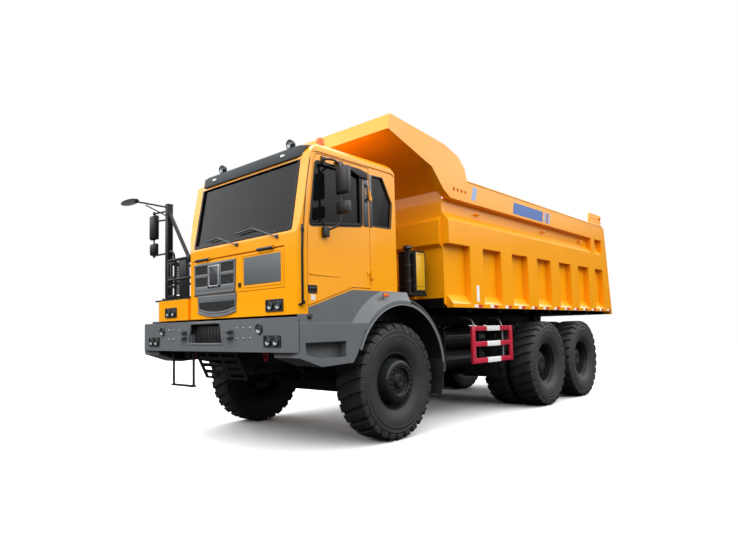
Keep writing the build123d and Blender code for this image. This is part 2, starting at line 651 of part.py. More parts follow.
def fuel_tank():
    """Fuel tank on the right, hung from the rail by two brackets."""
    x = (-1520, -900)
    tank = chamfer(block(x, TANK_Y, TANK_Z).edges().filter_by(Axis.Y), 55)
    for y in (TANK_Y[0] + 300, TANK_Y[1] - 300):
        span = (y - 60, y + 60)
        tank += block((x[1] - 10, -RAIL_X), span, (RAIL_TOP - RAIL_DEPTH + 40, TANK_Z[1] - 90))
        tank += block((x[1] - 10, -RAIL_X - 200), span, (TANK_Z[0] + 90, TANK_Z[1] - 90))
    return tank


def air_tanks():
    """Two air tanks and a battery box on the left, on brackets from the rail."""
    ends = (TANK_Y[0] - 50, TANK_Y[1] - 220)
    places = (ends[0] + 150, ends[1] - 250)
    tanks = None
    for y in places:
        bracket = block((RAIL_X, 1330), (y - 12, y + 12), (1080, 1375))
        bracket += block((800, 1330), (y - 12, y + 12), (790, 1200))
        tanks = bracket if tanks is None else tanks + bracket
    for x, z in ((1160, 1230), (1160, 920)):
        tanks += rod((x, ends[0], z), (x, ends[1], z), 140, AXLE_SIDES)
    tanks += block((620, 980), (places[0] - 20, places[1] + 20), (1090, 1370))
    return tanks


def side_guards():
    """Red and white side guards between the wheels, on arms from the rails."""
    half = 55
    middle = (GUARD_Z[0] + GUARD_Z[1]) / 2
    guards = []
    for side in SIDES:
        x = (side * 1560, side * 1600)
        guard = None
        for z in (GUARD_Z[0] + half, middle, GUARD_Z[1] - half):
            rail = block(x, GUARD_Y, (z - half, z + half))
            guard = rail if guard is None else guard + rail
        for y in (GUARD_Y[0] + 40, GUARD_Y[1] - 40):
            guard += block(x, (y - 40, y + 40), GUARD_Z)
        for y in (GUARD_Y[0] + 110, GUARD_Y[1] - 110):
            guard += block((side * RAIL_X, side * 1575), (y - 45, y + 45), (RAIL_TOP - 18, RAIL_TOP - 2))
        guards.append(guard)
    return group(*guards)


def air_cleaner():
    """Air cleaner housing and intake pipe behind the cab, on a stand from the rail."""
    x = (1150, 1450)
    y = (590, 850)
    low = FENDER_TOP + 26
    housing = chamfer(block(x, y, (low, low + 593)).edges().filter_by(Axis.Z), 22)
    housing += block((RAIL_X - 90, x[1]), (y[0] - 150, y[1]), (low - 40, low))
    housing += block((RAIL_X - 90, RAIL_X), (y[0] + 60, y[0] + 200), (RAIL_TOP, low - 40))
    pipe = (x[1] - 38, y[0] - 104)
    housing += rod((*pipe, low - 20), (*pipe, low + 650), 38)
    housing += rod((*pipe, low + 550), (pipe[0], y[0] + 30, low + 550), 30)
    return housing


# ---------------------------------------------------------------- cab
def screen_y(z):
    """Front face of the cab at a height, above the windscreen's foot."""
    share = (z - SCREEN_FOOT_Z) / (SCREEN_HEAD[1] - SCREEN_FOOT_Z)
    return FACE_Y + share * (SCREEN_HEAD[0] - FACE_Y)


def cab_envelope(inset, front_inset, floor):
    """Cab volume from its side, front and plan outlines, drawn in by the wall's thickness."""
    corner = CAB_CORNER - inset / 2
    side = [(FACE_Y + front_inset, floor), (FACE_Y + front_inset, SCREEN_FOOT_Z),
            (SCREEN_HEAD[0] + front_inset, SCREEN_HEAD[1] - inset), (-1400 + inset, CAB_ROOF - 40 - inset),
            (-1300 + inset, CAB_ROOF - inset), (-130 - inset, CAB_ROOF - inset),
            (CAB_REAR - inset, CAB_ROOF - 110 - inset), (CAB_REAR - inset, floor)]
    volume = across(side, (CAB_X[0] + inset, CAB_X[1] - inset))
    middle = (CAB_X[0] + CAB_X[1]) / 2
    width = CAB_X[1] - CAB_X[0] - 2 * inset
    front = Plane(origin=(middle, FACE_Y - 10, 0), x_dir=(1, 0, 0), z_dir=(0, -1, 0))
    arch = front * Pos(0, CAB_ROOF - inset - 1200) * RectangleRounded(width, 2400, corner)
    volume &= extrude(arch, amount=CAB_REAR - FACE_Y + 20, dir=(0, 1, 0))
    plan = Plane(origin=(middle, 0, floor)) * Pos(0, FACE_Y + front_inset + 1500) * \
        RectangleRounded(width, 3000, corner)
    volume &= extrude(plan, amount=CAB_ROOF - floor + 10)
    return volume


def door_outline(gap, foot):
    """Door outline (y, z), drawn out by the gap; foot is its lower front corner."""
    # rear bottom, lower edge, front edge, window head, rear top
    slope = (DOOR_SILL - foot[1]) / (-840 - foot[0]) if foot[1] < DOOR_SILL else 0
    front_low = foot[1] - gap - slope * gap
    return ((DOOR_REAR + gap, DOOR_SILL - gap), (-840, DOOR_SILL - gap), (foot[0] - gap, front_low),
            (-1548 - gap, 2480), (-1440 - gap, 3340), (-1395 - gap / 2, DOOR_TOP + gap),
            (DOOR_REAR + gap, DOOR_TOP + gap))


def door_window(gap):
    """Window opening (y, z) of the door, drawn in by the gap."""
    return ((-650 - gap, 2664 + gap), (-1500 + gap, 2582 + gap), (-1392 + gap, 3312 - gap),
            (-650 - gap, 3312 - gap))


QUARTER_WINDOW = ((-455, 2690), (-455, 3330), (-250, 3336), (-70, 3030), (-105, 2700))


def cab_shell():
    """Hollow cab: floor, walls and roof as thick as the doors, with every window cut."""
    shell = cab_envelope(0, 0, CAB_CHIN)
    shell -= cab_envelope(CAB_WALL, CAB_FRONT_WALL, CAB_FLOOR)
    # underside: the chin stays at the front, the floor is flat behind it
    hollow = (*CAB_UNDERSIDE, (1, FENDER_TOP), (1, CAB_CHIN - 1), (CAB_UNDERSIDE[0][0], CAB_CHIN - 1))
    shell -= across(hollow, (CAB_X[0] - 1, CAB_X[1] + 1))
    shell -= block(SCREEN_X, (FACE_Y - 10, -1380), SCREEN_Z)
    shell -= block((-150, 1050), (CAB_REAR - CAB_WALL - 1, 1), (2650, 3220))
    for side, x, foot in ((LEFT, CAB_X[1], DOOR_FOOT), (RIGHT, CAB_X[0], (-1553, DOOR_SILL + 10))):
        through = (x - side * (CAB_WALL + 20), x + side)
        shell -= across(door_outline(DOOR_GAP, foot), through)
        shell -= across(QUARTER_WINDOW, through)
    # seat of the service flap
    g = 5
    recess_z = (FLAP_Z[0] - g, FLAP_HINGE_AXIS[1])
    shell -= block((FLAP_X[0] - g, FLAP_X[1] + g), (FACE_Y - 1, FACE_Y + FLAP_THICK + 14), recess_z)
    return shell + door_hinges(LEFT, False) + door_hinges(RIGHT, False) + flap_hinges(False)


def door_hinges(side, on_door):
    """Door's or cab's share of the two hinges: a leaf and one knuckle each."""
    outer = CAB_X[1] if side == LEFT else CAB_X[0]
    axis_x = outer + side * KNUCKLE_PROUD
    axis_y = DOOR_REAR + DOOR_GAP / 2
    leaf_y = (DOOR_REAR - 60, DOOR_REAR) if on_door else (DOOR_REAR + DOOR_GAP, DOOR_REAR + DOOR_GAP + 46)
    share = None
    for middle in DOOR_HINGE_Z:
        # the cab's knuckle stands under the door's
        way = 1 if on_door else -1
        z = (middle + way * SEAT_GAP / 2, middle + way * KNUCKLE_HALF)
        piece = bar((axis_x, axis_y, z[0]), (axis_x, axis_y, z[1]), KNUCKLE_RADIUS)
        piece += block((outer, outer + side * HINGE_LEAF), leaf_y, z)
        share = piece if share is None else share + piece
    return share


def flap_hinges(on_flap):
    """Flap's or cab's share of the two barrel hinges over the service flap."""
    y, z = FLAP_HINGE_AXIS
    share = None
    for low, high in FLAP_HINGE_X:
        end = (high - low) / 6
        inner = (low + end, high - end)
        if on_flap:
            spans = (inner,)
            leaf = (FLAP_Z[1] - 30, z - 6)
        else:
            spans = ((low, inner[0] - SEAT_GAP), (inner[1] + SEAT_GAP, high))
            leaf = (z + 6, z + 42)
        for span in spans:
            piece = bar((span[0], y, z), (span[1], y, z), FLAP_BARREL)
            piece += block(span, (FACE_Y - HINGE_LEAF, FACE_Y), leaf)
            share = piece if share is None else share + piece
    return share


def cab_glass():
    """Windscreen, rear window and the two quarter windows."""
    low, high = SCREEN_Z
    set_back = 22
    screen = across(((screen_y(low) + set_back, low), (screen_y(low) + set_back + GLASS, low),
                     (screen_y(high) + set_back + GLASS, high), (screen_y(high) + set_back, high)), SCREEN_X)
    panes = [screen, block((-150, 1050), (CAB_REAR - 32, CAB_REAR - 22), (2650, 3220))]
    for side, x in ((LEFT, CAB_X[1]), (RIGHT, CAB_X[0])):
        panes.append(across(QUARTER_WINDOW, (x - side * 30, x - side * 20)))
    return group(*panes)


def door(side):
    """Rear-hinged door with its window cut and a recessed handle at the front."""
    foot = DOOR_FOOT if side == LEFT else (-1553, DOOR_SILL + 10)
    outer = CAB_X[1] if side == LEFT else CAB_X[0]
    span = (outer - side * CAB_WALL, outer)
    panel = across(door_outline(0, foot), span) - across(door_window(0), span)
    middle = foot[1] + 178 if side == LEFT else foot[1] + 135
    panel -= block((outer - side * 26, outer + side), (-1586, -1423), (middle - 44, middle + 44))
    return panel + door_hinges(side, True)


def door_glass(side):
    """Pane that fills the door's window."""
    outer = CAB_X[1] if side == LEFT else CAB_X[0]
    return across(door_window(0), (outer - side * 34, outer - side * 24))


def mirrors_left():
    """Mirror arm on the left door with its main and wide-angle heads."""
    outer = CAB_X[1]
    arm_x, y = outer + 148, -1170
    arm = block((outer, outer + 46), (-1405, -1335), (2440, 2540))
    arm += rod((outer + 30, -1370, 2500), (arm_x, y, 2600), 13)
    arm += rod((arm_x, y, 2590), (arm_x, y, 3330), 14)
    for place in (-1300, -1010):
        arm += block((outer, outer + 22), (place - 30, place + 30), (3336, 3384))
        arm += rod((outer + 18, place, 3358), (arm_x, y, 3320), 12)
    for z in ((2950, 3262), (2722, 2862)):
        head = block((outer + 90, outer + 280), (y - 35, y + 38), z)
        arm += chamfer(head.edges().filter_by(Axis.Z), 14)
    return arm


def sun_visor():
    """Visor box across the top of the windscreen."""
    outline = ((-1600, 3395), (-1606, 3455), (-1510, 3545), (-1300, 3578), (-1300, 3500), (-1450, 3395))
    visor = across(outline, (-562, 1524))
    return visor - cab_envelope(0, 0, CAB_CHIN)


def roof_lamps():
    """Two work lamps on the visor and the beacon on the roof."""
    lamps = []
    middle = CAB_ROOF + 70
    for x in (-126, 1246):
        lamp = rod((x, -1530, middle), (x, -1450, middle), 58, AXLE_SIDES)
        lamp += block((x - 16, x + 16), (-1505, -1465), (CAB_ROOF - 2, middle - 20))
        lamps.append(lamp - sun_visor())
    base = (1330, -1130)
    beacon = rod((*base, CAB_ROOF), (*base, CAB_ROOF + 26), 62, AXLE_SIDES)
    beacon += rod((*base, CAB_ROOF + 26), (*base, CAB_ROOF + 140), 50, AXLE_SIDES)
    lamps.append(beacon)
    return group(*lamps)


def seats():
    """Driver's and passenger's seats on their pedestals."""
    # cushion and back in one side outline (y, height over the floor)
    outline = ((-760, 480), (-770, 540), (-740, 585), (-330, 560), (-230, 1100), (-170, 1180), (-110, 1160),
               (-120, 1080), (-200, 480))
    pedestal = ((-640, 0), (-560, 480), (-300, 480), (-260, 0))
    pair = []
    for x in (60, 1010):
        seat = across([(y, CAB_FLOOR + rise) for y, rise in outline], (x - 250, x + 250))
        seat += across([(y, CAB_FLOOR + rise) for y, rise in pedestal], (x - 150, x + 150))
        pair.append(seat)
    return group(*pair)


def dashboard():
    """Dashboard across the cab behind the front wall."""
    front = FACE_Y + CAB_FRONT_WALL
    outline = ((front, CAB_FLOOR + 100), (front, 2475), (-1380, 2470), (-1240, 2410), (-1230, 2330),
               (-1330, CAB_FLOOR + 180))
    clear = CAB_WALL + DOOR_GAP
    desk = across(outline, (CAB_X[0] + clear, CAB_X[1] - clear))
    return desk & cab_envelope(CAB_WALL, CAB_FRONT_WALL, CAB_FLOOR)


def steering_wheel():
    """Steering wheel and column at the driver's place."""
    x = 1010
    hub = (x, -1030, 2560)
    tilt = Plane(origin=hub, z_dir=(0, 0.42, 0.9))
    wheel = tilt * extrude(RegularPolygon(235, WHEEL_SIDES) - RegularPolygon(203, WHEEL_SIDES), amount=30)
    wheel += tilt * Box(424, 50, 16, align=(Align.CENTER, Align.CENTER, Align.MIN))
    wheel += rod((x, -1225, 2340), (hub[0], hub[1] + 4, hub[2] + 8), 36)
    return wheel


def front_lamps():
    """Headlamps in the front panel, and round and twin lamps on the bumper."""
    bezel = 14
    lamps = []
    for side in SIDES:
        lamps.append(block((side * 990, side * 1296), (FACE_Y - bezel, FACE_Y), (1640, 1780)))
        round_lamp = (side * 1074, 1452)
        lamps.append(along([(round_lamp[0] + 62 * cos(turn * pi / 6), round_lamp[1] + 62 * sin(turn * pi / 6))
                            for turn in range(AXLE_SIDES)], (BUMPER_FRONT - bezel, BUMPER_FRONT)))
        lamps.append(block((side * 1156, side * 1446), (BUMPER_FRONT - bezel, BUMPER_FRONT), (1250, 1378)))
    return group(*lamps)


def grille_lower():
    """Lower grille: a V-shaped frame with bars over the mesh."""
    frame = ((-445, 1842), (425, 1842), (400, 1692), (-10, 1642), (-420, 1692))
    hole = ((-395, 1800), (375, 1800), (355, 1728), (-10, 1684), (-372, 1728))
    y = (FACE_Y - 12, FACE_Y)
    grille = along(frame, y) - along(hole, y)
    for x in range(-330, 340, 66):
        grille += block((x - 6, x + 6), (FACE_Y - 10, FACE_Y - 2), (1690, 1805))
    grille += block((-390, 370), (FACE_Y - 8, FACE_Y - 4), (1752, 1764))
    return grille


def front_flap():
    """Top-hinged service flap in the cab's front."""
    return block(FLAP_X, (FACE_Y, FACE_Y + FLAP_THICK), FLAP_Z) + flap_hinges(True)


def grille_upper():
    """Upper grille on the flap: surround, four windows and a bare plate."""
    frame = ((-525, 2322), (412, 2322), (392, 1950), (-515, 1930))
    y = (FACE_Y - 14, FACE_Y)
    grille = along(frame, y)
    for x in ((-490, -260), (70, 360)):
        for z in ((2160, 2292), (1996, 2120)):
            grille -= block(x, (FACE_Y - 15, FACE_Y + 1), z)
            for count in range(1, 4):
                bar_x = x[0] + count * (x[1] - x[0]) / 4
                grille += block((bar_x - 5, bar_x + 5), (FACE_Y - 9, FACE_Y), z)
    grille += block((-210, 20), (FACE_Y - 26, FACE_Y - 14), (1990, 2300))
    return grille


# ---------------------------------------------------------------- dump body
def body_rear(z):
    """Rear edge of the body's side at a height."""
    share = (z - BODY_LOW) / (RAIL_Z[1] - BODY_LOW)
    return BODY_REAR_LOW + share * (BODY_REAR_HIGH - BODY_REAR_LOW)


def body_floor():
    """Floor plate on cross beams and two long beams, with the pivot brackets and pin."""
    top = FLOOR_TOP
    under = top - FLOOR_PLATE
    inner = SIDE_PLATE_X - BODY_PLATE
    floor = block((-inner, inner), (BODY_FRONT + FLOOR_PLATE, body_rear(top)), (under, top))
    for count in range(RIB_COUNT + 1):
        y = RIB_FIRST + 60 + count * RIB_PITCH
        floor += block((-inner, inner), (y, y + 130), (under - 100, under))
    for side in SIDES:
        beam = (side * BEAM_X[0], side * BEAM_X[1])
        floor += block(beam, (BODY_FRONT + 40, PIVOT_Y + 60), (BEAM_Z, under))
        floor += block(beam, (PIVOT_Y + 60, body_rear(top) - 60), (under - 100, under))
        ear = (side * (RAIL_X + 8), side * (RAIL_X + 52))
        cheek = across(((PIVOT_Y - 210, under), (PIVOT_Y - 90, PIVOT_Z - 50), (PIVOT_Y - 50, PIVOT_Z - 92),
                        (PIVOT_Y + 50, PIVOT_Z - 92), (PIVOT_Y + 90, PIVOT_Z - 50),
                        (PIVOT_Y + 210, under)), ear)
        floor += cheek
    floor += disc((-RAIL_X - 70, RAIL_X + 70), PIVOT_PIN, PIVOT_Y, PIVOT_Z)
    return floor


def body_side(side):
    """Side of the body: plate, seven posts, belt and top rail as one welding."""
    low, high = BODY_LOW, RAIL_Z[1]
    inner = SIDE_PLATE_X - BODY_PLATE
    outline = ((BODY_FRONT, low + 60), (BODY_FRONT, RAIL_Z[0]), (CANOPY_REAR, RAIL_Z[0]), (CANOPY_REAR, high),
               (body_rear(high), high), (body_rear(low), low), (BODY_FRONT + 100, low))
    plate = across(outline, (inner, SIDE_PLATE_X))
    # belt and rail sections (x, z), extruded along the body
    belt = ((SIDE_PLATE_X, BELT_Z[0]), (BODY_HALF, BELT_Z[0]), (BODY_HALF, BELT_Z[1]), (SIDE_PLATE_X, 3080))
    rail = ((inner, RAIL_Z[0]), (BODY_HALF, RAIL_Z[0]), (BODY_HALF, RAIL_Z[1]), (inner, RAIL_Z[1]))
    sill = ((SIDE_PLATE_X, low), (BODY_HALF, low), (BODY_HALF, low + 60), (SIDE_PLATE_X, low + 190))
    piece = plate
    piece += along(belt, (BODY_FRONT, BODY_REAR_LOW))
    piece += along(rail, (CANOPY_REAR, BODY_REAR_LOW))
    piece += along(sill, (BODY_FRONT + 60, BODY_REAR_LOW))
    for count in range(RIB_COUNT):
        y = RIB_FIRST + count * RIB_PITCH
        piece += block((SIDE_PLATE_X, BODY_HALF), (y, y + RIB_WIDTH), (low, BELT_Z[0]))
    last = BODY_REAR_LOW - 383
    piece += block((SIDE_PLATE_X, BODY_HALF), (last, BODY_REAR_LOW), (low, RAIL_Z[0]))
    # short post between belt and top rail
    piece += block((SIDE_PLATE_X, BODY_HALF), (last - 617, last - 417), (BELT_Z[1], RAIL_Z[0] + 1))
    # the rear edge leans forward towards the top
    piece -= across(((body_rear(low), low - 1), (body_rear(high), high + 1), (BODY_REAR_LOW + 10, high + 1),
                     (BODY_REAR_LOW + 10, low - 1)), (inner - 1, BODY_HALF + 1))
    piece += hinge_ear(side)
    return on_side(piece, side)


def hinge_ear(side):
    """Bracket on the top rail that carries the tailgate's pin: a foot and an upright plate."""
    y, z = GATE_PIVOT
    top = RAIL_Z[1]
    x = (BODY_HALF - 63, BODY_HALF - 31)
    ear = across(((y - 640, top), (y - 600, z + 20), (y - 570, z + 50), (y + 50, z + 50), (y + 60, top)), x)
    ear += block((BODY_HALF - 110, BODY_HALF), (y - 700, y + 60), (top - 1, top + 22))
    ear += disc((GATE_ARM_X[0] - 8, x[1]), GATE_PIN, y, z)
    return ear


def body_front_wall():
    """Front wall of the body with its belt, upper beam and the hoist's bracket ears."""
    inner = SIDE_PLATE_X - BODY_PLATE
    y = BODY_FRONT
    wall = block((-inner, inner), (y, y + FLOOR_PLATE), (FLOOR_TOP - FLOOR_PLATE - 40, RAIL_Z[0]))
    # belt (y, z): a bent plate standing proud of the wall
    wall += across(((y, 2560), (y - 70, BELT_Z[0]), (y - 70, BELT_Z[1]), (y, 3010)), (-inner, inner))
    for x in (-1100, 1100):
        wall += block((x - 60, x + 60), (y - 60, y), (FLOOR_TOP, BELT_Z[0]))
    eye_y, eye_z = HOIST_EYE
    ear_x = HOIST_EYE_WIDTH / 2 + HOIST_EAR_GAP
    for side in SIDES:
        x = (side * ear_x, side * (ear_x + HOIST_EAR_THICK))
        ear = across(((y - 69, eye_z - 210), (eye_y - 50, eye_z - 50), (eye_y - 50, eye_z + 50),
                      (y - 69, eye_z + 110)), x)
        ear += across(((y, eye_z - 260), (y - 70, eye_z - 210), (y - 70, eye_z + 30), (y, eye_z + 30)), x)
        ear -= disc(x, HOIST_EYE_BORE, eye_y, eye_z)
        wall += ear
    return wall


def canopy():
    """Canopy over the cab: curved deck between deep cheeks, with a boxed front lip."""
    inner = SIDE_PLATE_X - BODY_PLATE
    front, top = BODY_FRONT, RAIL_Z[1]

    def placed(points):
        """(y, z) points given from the body's front wall and the rail's top."""
        return [(front + y, top + z) for y, z in points]

    # the deck's underside and its top, both from the rear forward
    under = placed(((90, -328), (-90, -230), (-358, 40), (-1299, 342)))
    over = placed(((-1250, 550), (-10, 430), (320, 330), (490, 180)))
    deck = placed(((69, -260), (-90, -150), (-348, 100), (-1280, 400), (-1265, 460), (-320, 170), (-40, -90),
                   (69, -180)))
    nose = placed(((-1299, 342), (-1250, 550), (-1210, 546), (-1200, 430), (-1210, 314)))
    rib = placed(((-1250, 549), (-310, 456), (-10, 200), (-10, -100), (-320, 168), (-1265, 458)))
    outline = under + over + [(CANOPY_REAR, top), (CANOPY_REAR, RAIL_Z[0])]
    piece = across(deck, (-inner, inner)) + across(nose, (-inner, inner))
    for side in SIDES:
        cheek = across(outline, (side * inner, side * BODY_HALF))
        for count in range(CHEEK_HOLES):
            y = CANOPY_REAR - 60 - count * CHEEK_HOLE_PITCH
            cheek -= rod((side * (inner - 1), y, top - 184), (side * (BODY_HALF + 1), y, top - 184), 28)
        piece += cheek
    for x in (-600, 600):
        piece += across(rib, (x - 12, x + 12))
    piece += block((-inner, inner), (front, front + FLOOR_PLATE), (RAIL_Z[0], top - 200))
    return piece


def tailgate():
    """Top-hinged tailgate: plate, frame, ribs and hinge arms."""
    low, high = BODY_LOW - 60, RAIL_Z[1] - 20
    gap = 8
    thick = 16
    depth = 96
    front_low = body_rear(low) + gap
    front_high = body_rear(high) + gap

    def slab(x, front, back, z):
        """Leaning slab between two depths behind the body's rear edge."""
        z0, z1 = z
        return across(((body_rear(z0) + front, z0), (body_rear(z0) + back, z0), (body_rear(z1) + back, z1),
                       (body_rear(z1) + front, z1)), x)

    gate = slab((-BODY_HALF + 8, BODY_HALF - 8), gap, gap + thick, (low, high))
    for z in (low, 2150, 2700, high - 130):
        gate += slab((-BODY_HALF + 8, BODY_HALF - 8), gap, gap + depth, (z, z + 130))
    for x in (-BODY_HALF + 78, -800, 0, 800, BODY_HALF - 78):
        gate += slab((x - 70, x + 70), gap, gap + depth, (low, high))
    y, z = GATE_PIVOT
    for side in SIDES:
        arm = across(((y - 46, z - 30), (y - 30, z + 46), (y + 40, z + 46), (front_high + depth, high),
                      (front_high, high), (front_high, high - 60), (front_high - 1, high + 40)),
                     (side * GATE_ARM_X[0], side * GATE_ARM_X[1]))
        bore = (side * (GATE_ARM_X[0] - 9), side * (GATE_ARM_X[1] + 6))
        arm -= disc(bore, GATE_PIN + RUNNING_CLEARANCE, y, z)
        gate += arm
    return gate


# ---------------------------------------------------------------- hoist
def hoist_axis():
    """Unit direction (y, z) from the hoist's foot to its eye, and the closed length."""
    dy = HOIST_EYE[0] - HOIST_FOOT[0]
    dz = HOIST_EYE[1] - HOIST_FOOT[1]
    length = hypot(dy, dz)
    return dy / length, dz / length, length


def hoist_tube(start, end, outer, inner):
    """Tube on the hoist's axis between two distances from its foot."""
    uy, uz, _ = hoist_axis()
    y, z = HOIST_FOOT

    def at(distance):
        return (0, y + uy * distance, z + uz * distance)

    tube = bar(at(start), at(end), outer)
    if inner:
        tube -= bar(at(start - 1), at(end + 1), inner)
    return tube


def hoist_top(number):
    """Distance from the foot to the closed top of a stage; the barrel is number 0."""
    return hoist_axis()[2] - 150 + 26 * number


def hoist_barrel():
    """Hoist barrel with its trunnion pin between the rails."""
    bore = HOIST_RADII[1] + RUNNING_CLEARANCE
    barrel = hoist_tube(-60, hoist_top(0), HOIST_RADII[0], 0)
    barrel -= hoist_tube(-30, hoist_top(0) + 10, bore, 0)
    barrel += disc((-240, -bore), HOIST_FOOT_PIN, *HOIST_FOOT)
    barrel += disc((bore, 240), HOIST_FOOT_PIN, *HOIST_FOOT)
    return barrel


def hoist_stage(number):
    """One telescopic stage; the last one carries the eye."""
    last = number == len(HOIST_RADII) - 1
    bore = 0 if last else HOIST_RADII[number + 1] + RUNNING_CLEARANCE
    stage = hoist_tube(60, hoist_top(number), HOIST_RADII[number], bore)
    if last:
        half = HOIST_EYE_WIDTH / 2
        stage += hoist_tube(hoist_top(number), hoist_axis()[2] - 20, 40, 0)
        stage += disc((-half, half), HOIST_EYE_RADIUS, *HOIST_EYE)
        stage -= disc((-half - 1, half + 1), HOIST_EYE_BORE, *HOIST_EYE)
    return stage


def rear_lamp_bar():
    """Lamp bar across the end of the frame with two lamps a side."""
    y = PIVOT_Y + 96
    low = RAIL_TOP - RAIL_DEPTH + 60
    lamp_bar = block((-1150, 1150), (y, y + 50), (low, low + 90))
    for side in SIDES:
        for x in (840, 1010):
            lamp_bar += block((side * x, side * (x + 120)), (y + 50, y + 74), (low + 12, low + 78))
    return lamp_bar


# ---------------------------------------------------------------- assembly
def build_truck():
    """Every piece by its node's name, in the modelling frame."""
    left_wheel, left_tyre = front_wheel(), tyre(FRONT_TYRE_X)
    pair = rear_wheel()
    nodes = {
        "frame_rails": frame_rails(),
        "front_bumper": front_bumper(),
        "bumper_guard": bumper_guard(),
        "entry_step": entry_step(),
        "fender_left": fender(LEFT),
        "fender_right": fender(RIGHT),
        "hood_corner": hood_corner(),
        "walkway": walkway(),
        "mirror_mast": mirror_mast(),
        "engine": engine(),
        "driveline": driveline(),
        "front_axle_beam": front_axle_beam(),
        "front_springs": front_springs(),
        "rear_suspension": rear_suspension(),
        "rear_axles": rear_axles(),
        "fuel_tank": fuel_tank(),
        "air_tanks": air_tanks(),
        "side_guards": side_guards(),
        "air_cleaner": air_cleaner(),
        "rear_lamp_bar": rear_lamp_bar(),
        "cab_shell": cab_shell(),
        "cab_glass": cab_glass(),
        "sun_visor": sun_visor(),
        "roof_lamps": roof_lamps(),
        "seats": seats(),
        "dashboard": dashboard() + steering_wheel(),
        "front_lamps": front_lamps(),
        "grille_lower": grille_lower(),
        "door_left": door(LEFT),
        "door_right": door(RIGHT),
        "door_glass_left": door_glass(LEFT),
        "door_glass_right": door_glass(RIGHT),
        "mirrors_left": mirrors_left(),
        "front_flap": front_flap(),
        "grille_upper": grille_upper(),
        "knuckle_left": knuckle(),
        "knuckle_right": mirrored(knuckle()),
        "tie_rod": tie_rod(),
        "front_wheel_left": left_wheel,
        "front_wheel_right": mirrored(left_wheel),
        "front_tyre_left": left_tyre,
        "front_tyre_right": mirrored(left_tyre),
        "body_floor": body_floor(),
        "body_side_left": body_side(LEFT),
        "body_side_right": body_side(RIGHT),
        "body_front_wall": body_front_wall(),
        "canopy": canopy(),
        "tailgate": tailgate(),
        "hoist_barrel": hoist_barrel(),
    }
    for number in range(1, len(HOIST_RADII)):
        nodes[f"hoist_stage_{number}"] = hoist_stage(number)
    for name, y in REAR_AXLES:
        for side, word in ((LEFT, "left"), (RIGHT, "right")):
            nodes[f"{name}_{word}"] = Pos(0, y, 0) * on_side(pair, side)
            nodes[f"{name.replace('wheel', 'tyres')}_{word}"] = twin_tyres(side, y)
    return nodes


def main():
    os.makedirs("parts", exist_ok=True)
    nodes = build_truck()
    boxes = [shape.bounding_box() for shape in nodes.values()]
    front = min(box.min.Y for box in boxes)
    rear = max(box.max.Y for box in boxes)
    right = min(box.min.X for box in boxes)
    left = max(box.max.X for box in boxes)
    centre = ((left + right) / 2, (front + rear) / 2)
    for name, shape in nodes.items():
        export_step(Pos(-centre[0], -centre[1], 0) * shape, f"parts/{name}.step")
    print(len(nodes), "nodes; centre", centre, "length", rear - front, "width", left - right)


main()
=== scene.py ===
from math import cos, pi, radians, sin

import bmesh
import bpy
from mathutils import Matrix, Vector


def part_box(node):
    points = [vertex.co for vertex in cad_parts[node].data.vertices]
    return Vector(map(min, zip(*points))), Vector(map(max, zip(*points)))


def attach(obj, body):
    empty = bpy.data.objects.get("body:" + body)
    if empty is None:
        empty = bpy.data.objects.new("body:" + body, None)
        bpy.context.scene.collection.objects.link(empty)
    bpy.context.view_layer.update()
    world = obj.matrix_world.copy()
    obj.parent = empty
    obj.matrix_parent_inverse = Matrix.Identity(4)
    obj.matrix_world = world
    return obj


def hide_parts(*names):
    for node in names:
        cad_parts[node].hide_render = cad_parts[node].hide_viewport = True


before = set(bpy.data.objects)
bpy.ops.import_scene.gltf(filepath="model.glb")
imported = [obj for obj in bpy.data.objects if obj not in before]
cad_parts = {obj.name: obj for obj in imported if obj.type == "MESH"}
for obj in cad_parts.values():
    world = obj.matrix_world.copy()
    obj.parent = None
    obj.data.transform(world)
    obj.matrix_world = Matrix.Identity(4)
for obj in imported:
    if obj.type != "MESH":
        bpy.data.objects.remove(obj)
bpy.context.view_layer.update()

# Yellow sheet steel: the cab, its doors, flap and corner panel, and the whole rock body.
# Pressed and welded mild steel, degreased, primed and sprayed with orange-yellow enamel.
# The enamel is glossy, with a faint orange peel and softly rounded sheet edges.


def linear(colour):
    """Linear values of an sRGB hex colour."""
    parts = [int(colour[place:place + 2], 16) / 255 for place in (1, 3, 5)]
    return [part / 12.92 if part <= 0.04045 else ((part + 0.055) / 1.055) ** 2.4 for part in parts] + [1.0]


def fill(tree, node, inputs):
    """Sets a node's inputs, by name or number, or links them to another node's socket."""
    for name, value in dict(inputs).items():
        if isinstance(value, bpy.types.NodeSocket):
            tree.links.new(value, node.inputs[name])
        else:
            node.inputs[name].default_value = value


def add_node(tree, kind, settings=(), inputs=()):
    """Adds a node, sets its settings, and sets or links its inputs."""
    node = tree.nodes.new(kind)
    for name, value in dict(settings).items():
        setattr(node, name, value)
    fill(tree, node, inputs)
    return node


def new_finish(name):
    """New material with its node tree and its shader."""
    finish = bpy.data.materials.new(name)
    finish.use_nodes = True
    return finish, finish.node_tree, finish.node_tree.nodes["Principled BSDF"]


